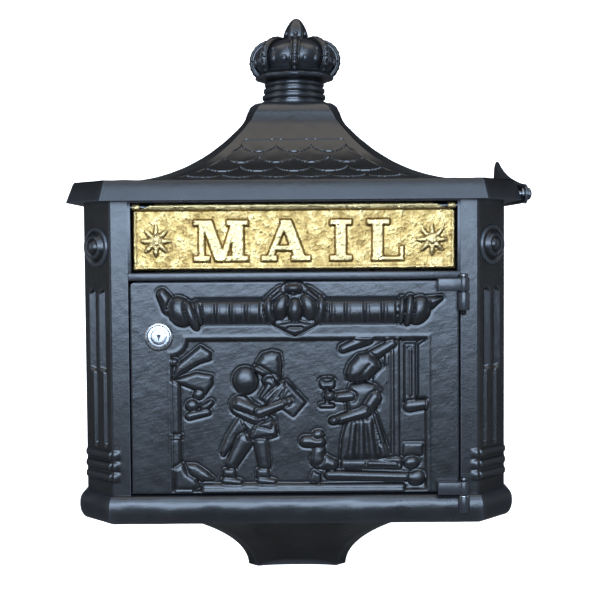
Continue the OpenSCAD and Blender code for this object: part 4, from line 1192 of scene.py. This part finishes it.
# %% Flap plate
def build_flap():
    low, high = (np.array(corner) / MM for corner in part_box("mail_flap"))
    ear_half, mid = (high[0] - low[0]) / 2 - 0.2, 0.0
    x = np.linspace(mid - ear_half, mid + ear_half, 560)
    z = np.linspace(low[2] + 0.15, high[2] - 0.1, 112)
    grid_x, grid_z = np.meshgrid(x, z)
    z0, z1 = z[0], z[-1]
    height = 0.17 * ripple(grid_x, grid_z, 4.2, 21) + 0.12 * ripple(grid_x, grid_z, 2.0, 22)
    height = height + 0.12 * ripple(grid_x, grid_z, 11, 23)
    rim = np.minimum.reduce([grid_x - x[0], x[-1] - grid_x, grid_z - z0, z1 - grid_z])
    height += 1.0 * np.exp(-((rim - 1.9) / 1.1) ** 2)
    tall, foot = 32.0, z0 + 6.4
    wide = tall * 1.12
    for letter, left in ((capital_m, -76), (capital_a, -24.5), (capital_i, 27), (capital_l, 55)):
        distance = letter((grid_x - left) / wide, (grid_z - foot) / tall) * tall
        height -= 0.35 * np.exp(-((distance - 0.9) / 0.8) ** 2)
        height += 2.0 * smoothstep(distance, 0.5, -0.7)
    for side in (-1, 1):
        height += 1.9 * rosette(grid_x - side * 105, grid_z - foot - tall / 2, 12.5)
    height = blur(height, 0.7)
    rod = middle("flap_rod") / MM
    rolled = np.clip(1 - ((grid_z - rod.z) / 2.9) ** 2, 0, 1) ** 0.5
    height = np.maximum(height, 1.85 * rolled + 0.5 * height)
    height -= 1.2 * (1 - np.sqrt(np.clip(1 - (1 - np.clip(rim / 1.3, 0, 1)) ** 2, 0, 1)))
    corner_x = ear_half - np.abs(grid_x - mid)
    corner_z = z1 - grid_z
    keep_point = corner_z > 7.0 * (1 - corner_x / 18)
    keep = keep_point[:-1, :-1] & keep_point[1:, 1:]
    flap = Shell()
    limit = -low[1] - 0.12
    front = -np.minimum(162.65 + height, limit)
    flap.add_plate(grid_x * MM, grid_z * MM, front * MM, np.full(front.shape, -160.1) * MM, keep)
    for start, end in ((-ear_half, -ear_half + 6), (ear_half - 6, ear_half)):
        profile = [(0.2, 0), (2.3, 0), (2.75, 0.5), (2.75, 5.5), (2.3, 6), (0.2, 6)]
        flap.add_lathe([(r * MM, h * MM) for r, h in profile],
                       (start * MM, rod.y * MM, rod.z * MM), "X", 32)
    return flap.build("hammered_brass_flap", "letter_flap", brass, ["mail_flap"], 60)


build_flap()

# %% [markdown]
# ## Signal flag, hinge pins and lock
# The small parts are turned or pressed, so each is a profile: spun about its axis for the pins,
# nut and lock, or pushed out sideways for the flag. The flag's edge is broken and its face sunk a
# little inside a rim, as a cast flag is. The key slot is a ring of the plug's face that narrows
# to a keyhole and then goes straight in.

# %% Signal flag
def softened(corners, rounds=3):
    """Cut the corners of an outline a few times, so that it runs smoothly."""
    points = np.asarray(corners, float)
    for _ in range(rounds):
        after = np.roll(points, -1, 0)
        points = np.stack([points * 0.78 + after * 0.22, points * 0.22 + after * 0.78], 1)
        points = points.reshape(-1, 2)
    return points


def inset(points, distance):
    """Move an outline inwards by distance."""
    along = np.roll(points, -1, 0) - np.roll(points, 1, 0)
    along /= np.linalg.norm(along, axis=1, keepdims=True)
    return points + distance * np.stack([-along[:, 1], along[:, 0]], 1)


def build_flag():
    low, high = (np.array(corner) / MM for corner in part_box("signal_flag"))
    pivot = middle("flag_nut") / MM
    long, tall = high[1] - pivot.y, high[2] - pivot.z
    outline_yz = [(-7.6, -3.2), (-3.4, -7.2), (long * 0.5, -6.6), (long - 9, -5.8), (long - 4, -3),
                  (long - 0.4, 5), (long - 0.2, tall - 14), (long - 5, tall - 3.5),
                  (long - 15, tall - 1.2), (long * 0.74, tall * 0.72), (long * 0.48, tall * 0.46),
                  (18, 9.4), (-3.4, 7.4), (-7.6, 3.2)]
    edge = softened(outline_yz)
    thick = high[0] - low[0]
    section = [(0.5, 4.4), (0.12, 2.9), (0.04, 1.5), (0.6, 0.25)]
    rings = []
    for depth, distance in section:
        rings.append((low[0] + depth, inset(edge, distance)))
    rings += [(low[0] + thick / 2, edge)]
    for depth, distance in reversed(section):
        rings.append((high[0] - depth, inset(edge, distance)))
    points = np.array([[[x, pivot.y + y, pivot.z + z] for y, z in ring] for x, ring in rings])
    flag = Shell()
    flag.add_rings(points * MM)
    boss = [(1.6, 0.02), (7.0, 0.02), (7.6, 0.5), (7.6, thick - 0.5), (7.0, thick - 0.02),
            (1.6, thick - 0.02)]
    flag.add_lathe([(r * MM, h * MM) for r, h in boss],
                   (low[0] * MM, pivot.y * MM, pivot.z * MM), "X", 48)
    return flag.build("pressed_flag", "flag", paint, ["signal_flag"], 35)


build_flag()

# %% Domed nut of the flag
def spin(name, body, finish, slot, node, profile, place, axis, turn=None, smooth=35, steps=64):
    """One turned part, replacing one node; the profile is in millimetres."""
    part = Shell()
    part.add_lathe([(r * MM, h * MM) for r, h in profile], place, axis, steps, turn)
    return part.build(name, body, finish, [node], smooth)


def six_sided(angle, height):
    corner = np.abs((angle * 3 / math.pi) % 2 - 1)
    return 0.9 + 0.1 * corner


nut_low, nut_high = (np.array(corner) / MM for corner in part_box("flag_nut"))
nut_place = (nut_low[0] * MM, middle("flag_nut").y, middle("flag_nut").z)
nut_long = nut_high[0] - nut_low[0]
spin("flag_lock_nut", "housing", paint_gloss, "black_paint", "flag_nut",
     [(0.3, 0.02), (4.2, 0.02), (4.9, 0.4), (4.9, 1.9), (4.4, 2.3), (3.6, 2.5), (3.0, 3.1),
      (1.8, nut_long - 0.1), (0.3, nut_long - 0.02)], nut_place, "X", six_sided, 30)

# %% Hinge pins, headed and slightly domed
for node, name, body in (("upper_hinge_pin", "upper_pin", "housing"),
                         ("lower_hinge_pin", "lower_pin", "housing")):
    low, high = (np.array(corner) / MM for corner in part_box(node))
    head = high[2] - 3.0
    centre = middle(node)
    spin(name, body, worn_pin, "zinc_steel", node,
         [(0.2, low[2] + 0.02), (1.2, low[2] + 0.05), (1.95, low[2] + 1.2), (1.95, head),
          (3.0, head + 0.02), (3.15, head + 0.3), (3.15, head + 1.9), (2.8, head + 2.5),
          (1.8, head + 2.85), (0.2, high[2] - 0.02)], (centre.x, centre.y, 0), "Z")

# %% Lock: plated bezel and a plug with a keyhole
barrel_low, barrel_high = (np.array(corner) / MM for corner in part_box("lock_barrel"))
lock = middle("lock_barrel")
depth = barrel_high[1] - barrel_low[1]
spin("lock_bezel", "door", nickel, "nickel_chrome", "lock_barrel",
     [(6.08, 0.02), (9.4, 0.02), (9.4, depth - 2.0), (10.2, depth - 1.98), (10.85, depth - 1.8),
      (10.95, depth - 1.2), (10.6, depth - 0.6), (9.9, depth - 0.15), (9.2, depth - 0.04),
      (8.9, depth - 0.4), (8.6, depth - 1.1), (8.2, depth - 0.55), (7.6, depth - 0.42),
      (6.2, depth - 0.42), (6.08, depth - 0.55), (6.08, 0.1)],
     (lock.x, barrel_high[1] * MM, lock.z), "front", smooth=30, steps=96)


def keyhole(angle):
    """Radius of the keyhole's outline: a round top with a slot below."""
    c, s = np.cos(angle), np.sin(angle)
    eye = 0.6 * s + np.sqrt(1.2 ** 2 - (0.6 * c) ** 2)
    slot = np.minimum(0.5 / np.maximum(np.abs(c), 1e-6), 2.7 / np.maximum(-s, 1e-6))
    return np.where(s < 0, np.maximum(eye, slot), eye)


def build_plug():
    low, high = (np.array(corner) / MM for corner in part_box("lock_plug"))
    place = middle("lock_plug") / MM
    angle = np.linspace(0, 2 * math.pi, 96, endpoint=False)
    long = high[1] - low[1]
    rings = [(np.full(96, r), h) for r, h in
             ((0.3, 0.02), (5.4, 0.02), (5.95, 0.5), (5.95, long - 0.9), (5.7, long - 0.55),
              (5.2, long - 0.4))]
    rings += [(np.full(96, 3.6), long - 0.36),
              (keyhole(angle) + 0.25, long - 0.36), (keyhole(angle), long - 0.6),
              (keyhole(angle) * 0.96, long - 4.5), (keyhole(angle) * 0.1, long - 4.6)]
    points = [np.stack([place.x + r * np.cos(angle), np.full(96, high[1] - h),
                        place.z + r * np.sin(angle)], -1) for r, h in rings]
    plug = Shell()
    plug.add_rings(np.array(points) * MM)
    return plug.build("keyed_plug", "lock", nickel, ["lock_plug"], 30)


build_plug()
